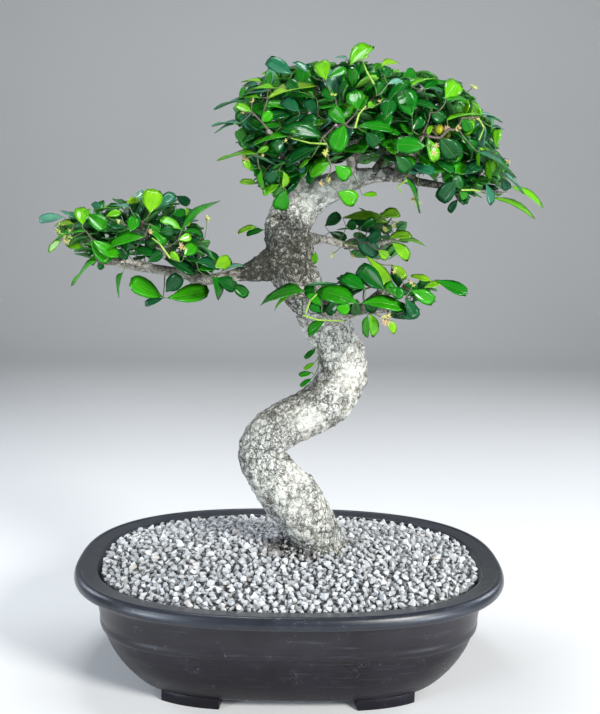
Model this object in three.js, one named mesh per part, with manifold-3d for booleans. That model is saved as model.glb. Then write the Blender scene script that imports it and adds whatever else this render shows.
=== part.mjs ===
import * as THREE from 'three';
import { mergeVertices } from 'three/addons/utils/BufferGeometryUtils.js';
import Module from 'manifold-3d';

// A fukien tea bonsai in an oval pot, in millimetres, +Z up.
// The origin is the middle of the pot, on the surface that its feet stand on.

// Pot
const rimHalfLength = 175;
const rimHalfWidth = 132;
const rimHeight = 95;
const lipDepth = 9.7;
const lipBottom = rimHeight - lipDepth;
const rimFlatWidth = 18.5;
const rimFall = 2;
const rimSquareness = 2.5;
const bodyTopInset = 20.5;
const baseHalfLength = 124.5;
const baseHalfWidth = 84;
const bodyBulge = 2.55;
const bodySquareness = 3.1;
const ledgeHeight = 54;
const ledgeProud = 1.7;
const wall = 4;
const footHeight = 8;
const footInnerEnd = 53;
const footOuterEnd = 99;
const footDepth = 13;
const footProud = 0.6;
const footSteps = 6;
const drainX = 58;
const drainRadius = 12;
const screenSide = 40;
const screenThickness = 1.2;
const screenHoles = 3;
const screenHoleShare = 0.68;

// Soil and gravel
const gap = 0.4;
const soilTop = 84;
const gravelEdge = 91.5;
const gravelCrown = 105;
const gravelLump = 1.1;
const gravelDrawn = 2.2;

// Wood
const trunkSides = 14;
const limbSides = 6;
const trunkRelief = 0.035;
const barkClearance = 0.35;

// Leaves
const leafThickness = 1.1;
const leafLength = 27;
const leafWidth = 14.5;
const twigRadius = 1.2;
const leafClearance = 0.45;
const stalkStart = 2.5;
const nodeLength = 0.09;
const leafTries = 5;
const twigTries = 12;
const fewestLeaves = 4;
const springSpacing = 7;
const firstSpringStation = 10;
const berryRadius = 4.1;

const ovalPoints = 48;

// Wood stations: x, y, z and the radius of the wood there
const trunk = [
  [30, 3, 68, 29], [30, 2, 85, 24.5], [25, 0, 108, 20], [12, -3, 131, 21], [0, -5, 147, 23],
  [-10.5, -8, 161, 22.3], [-24, -10, 176, 18.2], [-25.5, -9, 189, 18], [-14.5, -8, 203, 20],
  [5, -6, 213, 19.3], [28, -1, 226, 20.5], [40, 5, 245, 20], [38, 6, 267, 19.2], [27, 3, 287, 18.8],
  [13, -1, 309, 17.6], [0, -4, 329, 19], [-4, -4, 350, 18.6], [-6, -3, 366, 17.6], [2, -1, 381, 16.6],
  [14, 0, 391, 14.2], [29, -4, 398.5, 11.8], [44, -8, 404, 8.8], [59, -10, 407.5, 6],
  [77, -12, 407.5, 5], [93, -14, 403.5, 3.2], [116, -16, 400, 2.6],
];

const limbs = {
  leftBranch: [
    [-9, -5, 335, 15], [-22, -7, 336, 13.5], [-33, -9, 331.5, 9.5], [-45, -10, 329, 6], [-57, -8, 326, 5],
    [-71, -4, 324, 4.8], [-87, -2, 328, 4.6], [-107, 0, 331, 4.3], [-127, 2, 333, 4], [-141, 4, 336, 3.6],
    [-152, 6, 338, 3.2], [-162, 8, 344, 3], [-169, 8, 351, 2.4], [-178, 6, 355, 1.6],
  ],
  leftUpper: [
    [-79, -4, 323, 4], [-90, -14, 335, 3.4], [-100, -22, 346, 3], [-111, -28, 355, 2.5],
    [-116, -32, 365, 1.5],
  ],
  leftBack: [
    [-71, -4, 323, 4], [-83, 20, 333, 3.2], [-108, 38, 345, 2.6], [-134, 48, 354, 2], [-155, 52, 360, 1.4],
  ],
  leftFront: [
    [-107, 0, 331, 3.4], [-112, -22, 335, 2.8], [-121, -40, 339, 2.2], [-130, -50, 340, 1.5],
  ],
  rightLower: [
    [25, -4, 291, 7], [37, -34, 301, 5.2], [50, -54, 307, 4.8], [62, -66, 310, 4.8], [71, -72, 312, 4.6],
  ],
  rightLowerTip: [
    [51, -55, 308, 4.2], [63, -62, 320, 3.4], [76, -66, 323, 2.8], [86, -68, 324, 2.4], [98, -68, 327, 1.8],
    [107, -66, 328, 1.3],
  ],
  rightLowerLeft: [[37, -34, 301, 3.6], [27, -58, 311, 3.2], [14, -70, 317, 2.4], [1, -76, 319, 1.5]],
  backRight: [
    [4, 6, 357, 7.5], [25, 32, 356, 3.8], [43, 48, 351, 3.2], [61, 60, 349, 2.8], [78, 68, 353, 2.3],
    [92, 72, 357, 1.6],
  ],
  crownRightTip: [
    [77, -12, 407, 4.4], [90, -15, 412, 3.2], [107, -18, 412.5, 2.8], [126, -20, 413.5, 2.5],
    [142, -20, 410, 2.1], [157, -18, 414, 1.3],
  ],
  crownRightLow: [
    [122, -20, 412.5, 2.2], [134, -24, 403, 1.9], [147, -26, 397, 1.6], [163, -26, 395, 1.2],
  ],
  crownMiddle: [
    [43, -8, 401, 5.6], [44, -5, 415, 4.3], [49, -2, 427, 4], [52, 0, 437, 3.6], [48, 2, 449, 3],
    [42, 4, 463, 2.4], [38, 5, 478, 1.6],
  ],
  crownLeft: [
    [10, -1, 387, 9], [5, -5, 400, 6.5], [0, -8, 412, 4.8], [-12, -8, 425, 4.2], [-26, -6, 437, 3.6],
    [-37, -4, 449, 2.8], [-42, -3, 461, 1.8],
  ],
  crownTopLeft: [
    [-1, -8, 411, 3.8], [-2, 5, 433, 3.4], [3, 10, 452, 3], [11, 10, 467, 2.4], [20, 8, 481, 1.6],
  ],
  crownTopRight: [
    [66, -11, 406, 4], [81, -6, 420, 2.7], [95, -9, 427, 2.6], [106, -11, 435, 2.5], [116, -12, 444, 2.3],
    [123, -10, 458, 1.7], [125, -10, 469, 1.2],
  ],
  crownInnerRight: [
    [59, -10, 406, 4], [71, 15, 424, 3.5], [79, 22, 445, 3], [86, 22, 464, 2.4], [95, 18, 479, 1.5],
  ],
  crownBackLeft: [
    [7, 1, 394, 5], [-1, 34, 416, 4], [-13, 56, 436, 3.2], [-24, 70, 453, 2.2], [-29, 76, 465, 1.4],
  ],
  crownBackMiddle: [
    [44, -4, 408, 4.4], [48, 34, 429, 4], [54, 58, 451, 3.2], [56, 70, 471, 2.2], [54, 74, 484, 1.4],
  ],
  crownBackRight: [
    [77, -10, 407, 4.4], [96, 28, 421, 3.8], [117, 50, 441, 3], [131, 60, 458, 2.2], [140, 64, 469, 1.4],
  ],
  crownFrontLeft: [
    [-1, -8, 412, 3.8], [-8, -38, 423, 3.2], [-14, -60, 430, 2.6], [-21, -74, 436, 1.6],
  ],
  crownFrontMiddle: [
    [44, -8, 406, 4.2], [40, -40, 424, 3.4], [34, -66, 433, 2.8], [27, -82, 440, 1.6],
  ],
  crownFrontRight: [
    [77, -14, 406, 3.8], [80, -44, 417, 3.2], [86, -66, 427, 2.6], [90, -78, 436, 1.6],
  ],
  sawnStub: [[-2, -3, 362, 10], [-11, -12, 368, 8.8], [-15.5, -17, 373.5, 8.2]],
};

// Roots spread from under the trunk: their directions in degrees, and their lengths
const rootDirections = [[10, 84], [66, 70], [128, 86], [187, 100], [245, 72], [308, 80]];

// The middle of each shoot's leaves, by the part of the tree that it belongs to
const shootTips = {
  crown: [
    [-10, -68, 452], [21, -82, 450], [-13, -59, 426], [47, -72, 463], [77, -60, 466], [77, -78, 442],
    [113, -62, 432], [-28, -32, 414], [-48, -22, 430], [131, -35, 400], [-13, -40, 396], [19, -48, 411],
    [-44, -5, 468], [-58, 8, 450], [-19, 0, 479], [22, -8, 484], [50, 2, 487], [77, 6, 481],
    [103, -10, 474], [131, -14, 470], [150, -8, 455], [158, -28, 438], [168, 8, 421], [181, -10, 408],
    [-28, 60, 456], [12, 74, 470], [54, 82, 474], [98, 74, 466], [134, 62, 452], [34, 66, 432],
    [84, 62, 426],
  ],
  left: [
    [-180, -4, 362], [-168, 4, 366], [-158, -18, 345], [-128, -44, 350], [-116, -30, 377], [-148, 44, 366],
    [-110, 32, 362], [-88, -16, 350], [-63, -24, 340], [-107, -24, 318],
  ],
  right: [
    [0, -84, 318], [32, -76, 319], [58, -80, 325], [84, -78, 320], [110, -70, 322], [64, -70, 294],
  ],
  back: [[60, 52, 366], [90, 70, 366], [74, 76, 344]],
  trunk: [[8, 12, 260], [-35, 1, 367]],
};

const berries = { left: [102.7, -60, 439.5], right: [108.5, -54, 435.7] };

const palette = {
  pot: { color: 0x2b292b, roughness: 0.45 },
  screen: { color: 0x1c1c1c, roughness: 0.7 },
  soil: { color: 0x3a2f26, roughness: 1 },
  gravel: { color: 0x9a9a9c, roughness: 0.95 },
  wood: { color: 0x9d9582, roughness: 0.9 },
  leaf: { color: 0x2f7a1c, roughness: 0.35 },
  berry: { color: 0xb7b51e, roughness: 0.3 },
};

const wasm = await Module();
wasm.setup();

// A repeatable stream of numbers from 0 to 1
function randomStream(seed) {
  let state = (seed * 7919 + 17) % 2147483647;
  return () => {
    state = (state * 16807) % 2147483647;
    return state / 2147483647;
  };
}

// An oval of flattened sides, whose squareness is 2 for an ellipse and more for a squarer one
function oval(halfLength, halfWidth, squareness, height) {
  const points = [];
  for (let i = 0; i < ovalPoints; i += 1) {
    const angle = (2 * Math.PI * i) / ovalPoints;
    const c = Math.cos(angle);
    const s = Math.sin(angle);
    const reach = (Math.abs(c) ** squareness + Math.abs(s) ** squareness) ** (-1 / squareness);
    points.push(new THREE.Vector3(halfLength * c * reach, halfWidth * s * reach, height));
  }
  return points;
}

// A closed solid through rings of equally many points, with a flat face at each end
function loft(rings) {
  const count = rings[0].length;
  const index = [];
  for (let r = 0; r < rings.length - 1; r += 1) {
    for (let i = 0; i < count; i += 1) {
      const a = r * count + i;
      const b = r * count + ((i + 1) % count);
      index.push(a, b, b + count, a, b + count, a + count);
    }
  }
  const last = (rings.length - 1) * count;
  for (let i = 1; i < count - 1; i += 1) {
    index.push(0, i + 1, i);
    index.push(last, last + i, last + i + 1);
  }
  const geometry = new THREE.BufferGeometry().setFromPoints(rings.flat());
  geometry.setIndex(index);
  return geometry;
}

function toSolid(geometry) {
  const bare = geometry.clone();
  bare.deleteAttribute('normal');
  bare.deleteAttribute('uv');
  const merged = mergeVertices(bare, 1e-4);
  return new wasm.Manifold(new wasm.Mesh({
    numProp: 3,
    vertProperties: new Float32Array(merged.attributes.position.array),
    triVerts: new Uint32Array(merged.index.array),
  }));
}

function toGeometry(solid) {
  const mesh = solid.getMesh();
  const geometry = new THREE.BufferGeometry();
  geometry.setAttribute('position', new THREE.BufferAttribute(new Float32Array(mesh.vertProperties), 3));
  geometry.setIndex(new THREE.BufferAttribute(new Uint32Array(mesh.triVerts), 1));
  geometry.computeVertexNormals();
  return geometry;
}

// The pot's body at a height, taken in from its outer face by an inset
function bodyOval(height, inset) {
  const drop = Math.max(0, (lipBottom - height) / (lipBottom - footHeight)) ** bodyBulge;
  const topHalfLength = rimHalfLength - bodyTopInset;
  const topHalfWidth = rimHalfWidth - bodyTopInset;
  return oval(
    topHalfLength - (topHalfLength - baseHalfLength) * drop - inset,
    topHalfWidth - (topHalfWidth - baseHalfWidth) * drop - inset,
    bodySquareness,
    height,
  );
}

function rimOval(inset, height) {
  return oval(rimHalfLength - inset, rimHalfWidth - inset, rimSquareness, height);
}

// A foot is a strip under the edge of the pot's base, from its inner end to its outer end
function footGeometry(sideX, sideY) {
  const edge = [];
  for (let i = 0; i <= footSteps; i += 1) {
    const x = footInnerEnd + ((footOuterEnd - footInnerEnd) * i) / footSteps;
    const y = baseHalfWidth * (1 - (x / baseHalfLength) ** bodySquareness) ** (1 / bodySquareness);
    edge.push(new THREE.Vector2(x, y));
  }
  const outline = [];
  const inner = [];
  edge.forEach((point, i) => {
    const before = edge[Math.max(0, i - 1)];
    const after = edge[Math.min(footSteps, i + 1)];
    const along = after.clone().sub(before).normalize();
    const inward = new THREE.Vector2(along.y, -along.x);
    outline.push(point.clone().addScaledVector(inward, -footProud));
    inner.unshift(point.clone().addScaledVector(inward, footDepth));
  });
  const corners = [...outline, ...inner].map((p) => new THREE.Vector2(p.x * sideX, p.y * sideY));
  return new THREE.ExtrudeGeometry(new THREE.Shape(corners), { depth: footHeight + 1, bevelEnabled: false });
}

// The pot's section from the base's edge up its outside, over the rim and down its inside
function potSolid() {
  const outside = [
    bodyOval(footHeight, 3),
    bodyOval(footHeight + 1.5, 0.4),
    bodyOval(20, 0),
    bodyOval(34, 0),
    bodyOval(46, 0),
    bodyOval(ledgeHeight - 1.5, 0.4),
    bodyOval(ledgeHeight, -ledgeProud),
    bodyOval(ledgeHeight + 3, -ledgeProud),
    bodyOval(70, -ledgeProud),
    bodyOval(lipBottom, -1),
    rimOval(1, lipBottom + 0.2),
    rimOval(0, lipBottom + 1.8),
    rimOval(0, rimHeight - 1.6),
    rimOval(1.6, rimHeight),
    rimOval(rimFlatWidth, rimHeight - rimFall),
  ];
  const inside = [
    bodyOval(lipBottom, wall),
    bodyOval(60, wall),
    bodyOval(34, wall),
    bodyOval(footHeight + wall + 4, wall),
    bodyOval(footHeight + wall, wall + 5),
  ];
  let solid = toSolid(loft([...outside, ...inside]));
  for (const sideX of [-1, 1]) {
    for (const sideY of [-1, 1]) {
      solid = solid.add(toSolid(footGeometry(sideX, sideY)));
    }
  }
  for (const x of [-drainX, drainX]) {
    const drill = new THREE.CylinderGeometry(drainRadius, drainRadius, 4 * wall, 24);
    drill.rotateX(Math.PI / 2);
    drill.translate(x, 0, footHeight);
    solid = solid.subtract(toSolid(drill));
  }
  return solid;
}

// A square plastic screen with square holes, lying over a drain hole
function screenSolid(x) {
  const height = footHeight + wall + gap + screenThickness / 2;
  const plate = new THREE.BoxGeometry(screenSide, screenSide, screenThickness);
  plate.translate(x, 0, height);
  let solid = toSolid(plate);
  const pitch = screenSide / (screenHoles + 0.5);
  const side = screenHoleShare * pitch;
  for (let i = 0; i < screenHoles; i += 1) {
    for (let j = 0; j < screenHoles; j += 1) {
      const hole = new THREE.BoxGeometry(side, side, 3 * screenThickness);
      hole.translate(x + (i - (screenHoles - 1) / 2) * pitch, (j - (screenHoles - 1) / 2) * pitch, height);
      solid = solid.subtract(toSolid(hole));
    }
  }
  return solid;
}

function woodCurve(stations) {
  const points = stations.map(([x, y, z]) => new THREE.Vector3(x, y, z));
  return new THREE.CatmullRomCurve3(points, false, 'centripetal');
}

// Tapered wood with a few rings to each stretch between stations; extra fattens it to cut room for it
// in its neighbours
function taperedWood(stations, sides, ringsPerSpan, extra, rough) {
  const curve = woodCurve(stations);
  const spans = stations.length - 1;
  const normal = new THREE.Vector3(0, 1, 0);
  const rings = [];
  for (let step = 0; step <= spans * ringsPerSpan; step += 1) {
    const station = step / ringsPerSpan;
    const span = Math.min(spans - 1, Math.floor(station));
    const radius = THREE.MathUtils.lerp(stations[span][3], stations[span + 1][3], station - span);
    const middle = curve.getPoint(station / spans);
    const along = curve.getTangent(station / spans);
    normal.addScaledVector(along, -normal.dot(along)).normalize();
    const across = new THREE.Vector3().crossVectors(along, normal);
    const ring = [];
    for (let i = 0; i < sides; i += 1) {
      const angle = (2 * Math.PI * i) / sides;
      const bark = 1 + rough * (Math.sin(2 * angle + station) + 0.6 * Math.sin(5 * angle - 1.8 * station));
      ring.push(middle.clone()
        .addScaledVector(normal, Math.cos(angle) * (radius * bark + extra))
        .addScaledVector(across, Math.sin(angle) * (radius * bark + extra)));
    }
    rings.push(ring);
  }
  return toSolid(loft(rings));
}

// A root runs out and down: how far it reaches as a share of its length, its height and its radius
function rootStations([degrees, length]) {
  const angle = THREE.MathUtils.degToRad(degrees);
  const [x, y] = trunk[0];
  return [[0.12, 78, 11], [0.35, 68, 7.5], [0.68, 50, 4.8], [1, 32, 2.2]].map(([share, height, radius]) => {
    const reach = share * length;
    return [x + reach * Math.cos(angle), y + reach * Math.sin(angle), height, radius];
  });
}

// The whole of the wood, from its roots to its limbs
function woodSolid(extra) {
  let solid = taperedWood(trunk, trunkSides, 2, extra, trunkRelief);
  for (const stations of Object.values(limbs)) {
    solid = solid.add(taperedWood(stations, limbSides, 1, extra, 0));
  }
  for (const root of rootDirections) {
    solid = solid.add(taperedWood(rootStations(root), limbSides, 1, extra, 0));
  }
  return solid;
}

// Soil fills the pot up to the gravel
function soilSolid(cutters) {
  const floor = footHeight + wall + gap;
  let solid = toSolid(loft([
    bodyOval(floor, wall + 5 + gap),
    bodyOval(footHeight + wall + 4 + gap, wall + 1.5 * gap),
    bodyOval(34, wall + 1.5 * gap),
    bodyOval(60, wall + 1.5 * gap),
    bodyOval(soilTop, wall + 1.5 * gap),
  ]));
  for (const cutter of cutters) solid = solid.subtract(cutter);
  return solid;
}

// Gravel heaped from the rim's inner edge to the trunk, with a lumpy top
function gravelSolid(cutter) {
  const random = randomStream(5);
  const edgeInset = rimFlatWidth + gravelDrawn;
  const rings = [bodyOval(soilTop + gap, wall + 2 * gap), bodyOval(lipBottom + gap, wall + 2.5 * gap)];
  for (const share of [1, 0.93, 0.8, 0.62, 0.42, 0.2]) {
    const height = gravelEdge + (gravelCrown - gravelEdge) * (1 - share ** 2.2);
    const ring = oval(
      (rimHalfLength - edgeInset) * share, (rimHalfWidth - edgeInset) * share, rimSquareness, height,
    );
    if (share < 1) ring.forEach((point) => { point.z += (random() - 0.5) * 2 * gravelLump; });
    rings.push(ring);
  }
  return toSolid(loft(rings)).subtract(cutter);
}

// The cross-sections of a leaf past its stalk: wide, then its blunt tip, folded along the midrib
function leafRings(foot, direction, up, length, width, extra) {
  const side = new THREE.Vector3().crossVectors(direction, up).normalize();
  const face = new THREE.Vector3().crossVectors(side, direction);
  return [[0.62, 1, 0.07], [1, 0.5, 0]].map(([share, breadth, arch]) => {
    const middle = foot.clone().addScaledVector(direction, share * length + extra * (2 * share - 1));
    const halfWidth = (breadth * width) / 2 + extra;
    const fold = 0.22 * breadth * width;
    const rise = leafThickness / 2 + extra;
    const corners = [[halfWidth, fold], [0, -rise], [-halfWidth, fold], [0, rise]];
    return corners.map(([aside, above]) => middle.clone()
      .addScaledVector(side, aside)
      .addScaledVector(face, above + arch * length));
  });
}

// The space that a leaf needs, from a little way along its stalk
function leafRoom(foot, direction, up, length, width, extra) {
  const rings = leafRings(foot, direction, up, length, width, extra);
  const start = foot.clone().addScaledVector(direction, stalkStart);
  const stalk = rings[0].map((point) => start.clone().addScaledVector(point.clone().sub(start), 0.08));
  return toSolid(loft([stalk, ...rings]));
}

// The middle line of every limb, and of the trunk above its lower bend, as points that a shoot can
// spring from
const woodLine = [];
for (const stations of [trunk.slice(firstSpringStation), ...Object.values(limbs)]) {
  woodLine.push(...woodCurve(stations).getPoints(stations.length * 4));
}

// The nearest wood that is a little way from where another shoot springs
const springs = [];
function nearestFreeWood(point) {
  const free = woodLine.filter((p) => springs.every((spring) => spring.distanceTo(p) > springSpacing));
  return free.reduce((best, p) => (p.distanceTo(point) < best.distanceTo(point) ? p : best));
}

function largestBody(solid) {
  return solid.decompose().reduce((best, body) => (body.volume() > best.volume() ? body : best));
}

// Three-sided rings along a twig, in close pairs where its leaves stand
function twigRings(curve) {
  const normal = new THREE.Vector3(0.3, 1, 0.2);
  return [0, 0.5, 0.5 + nodeLength, 1 - nodeLength, 1].map((share, i) => {
    const middle = curve.getPointAt(share);
    const along = curve.getTangentAt(share);
    normal.addScaledVector(along, -normal.dot(along)).normalize();
    const across = new THREE.Vector3().crossVectors(along, normal);
    const turn = i < 3 ? 0 : Math.PI / 3;
    return [0, 1, 2].map((corner) => {
      const angle = turn + (corner * 2 * Math.PI) / 3;
      return middle.clone()
        .addScaledVector(normal, twigRadius * Math.cos(angle))
        .addScaledVector(across, twigRadius * Math.sin(angle));
    });
  });
}

// Grows a leaf out of one face of a twig; gives its triangles, or null where there is no room for it
function leafOnQuad(quad, vertices, curve, row, random, others, own) {
  const foot = quad.reduce((sum, i) => sum.add(vertices[i]), new THREE.Vector3()).multiplyScalar(0.25);
  const share = row === 1 ? 0.5 + nodeLength / 2 : 1 - nodeLength / 2;
  const outward = foot.clone().sub(curve.getPointAt(share)).normalize();
  for (let attempt = 0; attempt < leafTries; attempt += 1) {
    const direction = outward.clone().addScaledVector(curve.getTangentAt(share), row === 1 ? 0.35 : 0.8);
    direction.add(new THREE.Vector3(random() - 0.5, random() - 0.5, 0.1 + random() * 0.4)).normalize();
    const up = new THREE.Vector3(0.5 * (random() - 0.5), 0.5 * (random() - 0.5), 1);
    const length = leafLength * (0.75 + 0.4 * random());
    const width = leafWidth * (0.85 + 0.3 * random());
    const room = leafRoom(foot, direction, up, length, width, leafClearance);
    if (![...others, ...own].every((solid) => room.intersect(solid).isEmpty())) continue;
    own.push(room);
    const rings = leafRings(foot, direction, up, length, width, 0);
    const spread = (turn) => quad.reduce(
      (sum, i, k) => sum + vertices[i].distanceTo(rings[0][(k + turn) % 4]), 0,
    );
    const shift = [0, 1, 2, 3].reduce((best, k) => (spread(k) < spread(best) ? k : best));
    const start = vertices.length;
    for (const ring of rings) {
      for (let k = 0; k < 4; k += 1) vertices.push(ring[(k + shift) % 4]);
    }
    const loops = [quad, [0, 1, 2, 3].map((k) => start + k), [4, 5, 6, 7].map((k) => start + k)];
    const faces = [start + 4, start + 5, start + 6, start + 4, start + 6, start + 7];
    for (let r = 0; r < 2; r += 1) {
      const [from, to] = [loops[r], loops[r + 1]];
      for (let k = 0; k < 4; k += 1) {
        const next = (k + 1) % 4;
        faces.push(from[k], from[next], to[next], from[k], to[next], to[k]);
      }
    }
    return faces;
  }
  return null;
}

// A shoot is a green twig whose leaves grow out of its sides in two whorls of three. Each leaf is kept
// only where it clears what is already there.
function shootSolid(tip, seed, woodRoom, placed) {
  const random = randomStream(seed);
  const base = nearestFreeWood(tip);
  springs.push(base);
  for (let attempt = 0; attempt < twigTries; attempt += 1) {
    const bend = new THREE.Vector3(random() - 0.5, random() - 0.5, 0.4 * random() - 0.3);
    const points = [base, base.clone().lerp(tip, 0.55).addScaledVector(bend, 8 + attempt * 2), tip];
    const curve = new THREE.QuadraticBezierCurve3(...points);
    const rings = twigRings(curve);
    const twig = toSolid(loft(rings));
    if (!twig.intersect(placed).isEmpty()) continue;
    const vertices = rings.flat();
    const index = [0, 2, 1, 12, 13, 14];
    const own = [];
    for (let r = 0; r < 4; r += 1) {
      for (let corner = 0; corner < 3; corner += 1) {
        const next = (corner + 1) % 3;
        const quad = [3 * r + corner, 3 * r + next, 3 * r + 3 + next, 3 * r + 3 + corner];
        const leaf = r % 2 === 1 && leafOnQuad(quad, vertices, curve, r, random, [placed, woodRoom], own);
        if (!leaf) index.push(quad[0], quad[1], quad[2], quad[0], quad[2], quad[3]);
        else index.push(...leaf);
      }
    }
    if (own.length < fewestLeaves) continue;
    const geometry = new THREE.BufferGeometry().setFromPoints(vertices);
    geometry.setIndex(index);
    const solid = largestBody(toSolid(geometry).subtract(woodRoom));
    if (solid.intersect(placed).isEmpty()) return solid;
  }
  throw new Error(`no room for the shoot at ${tip.toArray()}`);
}

const tree = new THREE.Group();

function place(name, geometry, look) {
  const material = new THREE.MeshStandardMaterial({ ...palette[look], metalness: 0 });
  const mesh = new THREE.Mesh(geometry, material);
  mesh.name = name;
  tree.add(mesh);
}

const woodRoom = woodSolid(barkClearance);
place('pot', toGeometry(potSolid()), 'pot');
const screenRooms = [['left', -drainX], ['right', drainX]].map(([side, x]) => {
  place(`drain_mesh_${side}`, toGeometry(screenSolid(x)), 'screen');
  const roomSide = screenSide + 2 * gap;
  const room = new THREE.BoxGeometry(roomSide, roomSide, 2 * (screenThickness + 2 * gap));
  room.translate(x, 0, footHeight + wall + gap);
  return toSolid(room);
});
place('soil_mix', toGeometry(soilSolid([woodRoom, ...screenRooms])), 'soil');
place('gravel_top_dressing', toGeometry(gravelSolid(woodRoom)), 'gravel');
place('trunk_branches_and_roots', toGeometry(woodSolid(0)), 'wood');

// Two berries side by side at the right of the crown
const berrySolids = Object.entries(berries).map(([side, [x, y, z]]) => {
  const berry = new THREE.SphereGeometry(berryRadius, 8, 6);
  berry.rotateX(Math.PI / 2);
  berry.translate(x, y, z);
  place(`berry_${side}`, berry, 'berry');
  return toSolid(berry);
});

// What the next shoot has to clear, besides the wood
let placed = berrySolids[0].add(berrySolids[1]);
let seed = 1;
for (const [region, tips] of Object.entries(shootTips)) {
  tips.forEach(([x, y, z], i) => {
    const solid = shootSolid(new THREE.Vector3(x, y, z), seed, woodRoom, placed);
    const number = String(i + 1).padStart(2, '0');
    place(`${region}_shoot_${number}`, toGeometry(solid), 'leaf');
    placed = placed.add(solid);
    seed += 1;
  });
}

export default tree;
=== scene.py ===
import math
import random

import bmesh
import bpy
import numpy as np
from mathutils import Matrix, Vector
from mathutils.bvhtree import BVHTree


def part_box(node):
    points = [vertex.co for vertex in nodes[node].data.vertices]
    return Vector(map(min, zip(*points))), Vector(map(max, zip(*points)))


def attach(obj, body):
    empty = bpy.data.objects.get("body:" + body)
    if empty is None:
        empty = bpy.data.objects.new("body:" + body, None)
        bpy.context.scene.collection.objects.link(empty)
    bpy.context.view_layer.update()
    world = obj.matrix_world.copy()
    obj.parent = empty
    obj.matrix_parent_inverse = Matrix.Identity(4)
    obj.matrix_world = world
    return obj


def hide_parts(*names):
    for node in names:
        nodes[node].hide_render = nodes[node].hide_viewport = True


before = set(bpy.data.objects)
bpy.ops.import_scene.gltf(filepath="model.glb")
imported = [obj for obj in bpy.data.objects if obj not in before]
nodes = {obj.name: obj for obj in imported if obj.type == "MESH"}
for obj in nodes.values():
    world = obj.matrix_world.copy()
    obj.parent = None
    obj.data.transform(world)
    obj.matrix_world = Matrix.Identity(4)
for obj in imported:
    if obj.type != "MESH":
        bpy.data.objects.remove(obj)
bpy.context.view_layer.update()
mm = 0.001
print("frame loaded:", len(nodes), "nodes")


def inScene(name, data):
    # a new object that is part of the scene
    made = bpy.data.objects.new(name, data)
    bpy.context.scene.collection.objects.link(made)
    return made


# The camera, and a way back from a place in the picture to a place on the tree

camera = {
    "place": (-0.0057, -0.8002, 0.3849),
    "yaw": -0.827,  # degrees, as the next two
    "pitch": 8.722,
    "roll": 0.938,
    "lens": 50.42,
    "sensorWidth": 36,
    "clip": (0.01, 50),
    "middle": (300, 357),  # of the picture, in its pixels
    "pixelsAtOneMetre": 1000,
}


def cameraAxes():
    yaw, pitch, roll = (math.radians(camera[turn]) for turn in ("yaw", "pitch", "roll"))
    right = Vector((math.cos(yaw), math.sin(yaw), 0))
    ahead = Vector((-math.cos(pitch) * math.sin(yaw), math.cos(pitch) * math.cos(yaw), -math.sin(pitch)))
    up = right.cross(ahead)
    rolledRight = right * math.cos(roll) + up * math.sin(roll)
    rolledUp = up * math.cos(roll) - right * math.sin(roll)
    return rolledRight, rolledUp, ahead


cameraRight, cameraUp, cameraAhead = cameraAxes()
cameraPlace = Vector(camera["place"])


def rayThrough(px, py):
    aside = (px - camera["middle"][0]) / camera["pixelsAtOneMetre"]
    above = (camera["middle"][1] - py) / camera["pixelsAtOneMetre"]
    return (cameraAhead + cameraRight * aside + cameraUp * above).normalized()


def seenAt(px, py, depth):
    # the point behind a pixel that lies at y = depth
    ray = rayThrough(px, py)
    return cameraPlace + ray * ((depth - cameraPlace.y) / ray.y)


def pixelOf(point):
    offset = point - cameraPlace
    far = offset.dot(cameraAhead)
    scale = camera["pixelsAtOneMetre"] / far
    return (
        camera["middle"][0] + offset.dot(cameraRight) * scale,
        camera["middle"][1] - offset.dot(cameraUp) * scale,
    )


def makeCamera():
    data = bpy.data.cameras.new("camera")
    data.lens = camera["lens"]
    data.sensor_width = camera["sensorWidth"]
    data.clip_start, data.clip_end = camera["clip"]
    holder = inScene("camera", data)
    turned = Matrix((cameraRight, cameraUp, -cameraAhead)).transposed().to_4x4()
    holder.matrix_world = Matrix.Translation(cameraPlace) @ turned
    bpy.context.scene.camera = holder


makeCamera()

# Soft studio light

studio = {
    "transform": "Standard",
    "worldColour": (0.84, 0.90, 1.0),
    "worldStrength": 0.15,
    "aim": (0, 0, 0.3),
    "lamps": {
        "key": {"place": (0.95, -1.20, 0.92), "size": 0.42, "power": 41, "colour": (1, 0.98, 0.94)},
        "fill": {"place": (-1.2, -1.0, 0.8), "size": 0.7, "power": 10, "colour": (0.92, 0.96, 1)},
        "top": {"place": (-0.1, 0.15, 1.45), "size": 0.5, "power": 14, "colour": (0.94, 0.97, 1)},
        "lowLeft": {"place": (-1.05, -0.90, 0.20), "size": 0.3, "power": 12, "colour": (0.74, 0.86, 1)},
        "lowRight": {"place": (1.00, -0.85, 0.20), "size": 0.3, "power": 12, "colour": (0.76, 0.87, 1)},
        "backLeft": {"place": (-1.15, 0.40, 0.65), "size": 0.5, "power": 7, "colour": (0.80, 0.88, 1)},
        "backRight": {"place": (1.15, 0.40, 0.65), "size": 0.5, "power": 8, "colour": (0.80, 0.88, 1)},
    },
}


def makeWorld():
    world = bpy.data.worlds.new("studio")
    world.use_nodes = True
    background = world.node_tree.nodes["Background"]
    background.inputs["Color"].default_value = (*studio["worldColour"], 1)
    background.inputs["Strength"].default_value = studio["worldStrength"]
    bpy.context.scene.world = world
    bpy.context.scene.view_settings.view_transform = studio["transform"]


def makeLamps():
    for name, values in studio["lamps"].items():
        data = bpy.data.lights.new(name, "AREA")
        data.shape = "DISK"
        data.size = values["size"]
        data.energy = values["power"]
        data.color = values["colour"]
        lamp = inScene(name, data)
        lamp.location = values["place"]
        towards = Vector(studio["aim"]) - lamp.location
        lamp.rotation_euler = towards.to_track_quat("-Z", "Y").to_euler()
        lamp.visible_camera = False


makeWorld()
makeLamps()
print("camera and lights ready")

# Small helpers for meshes


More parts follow.
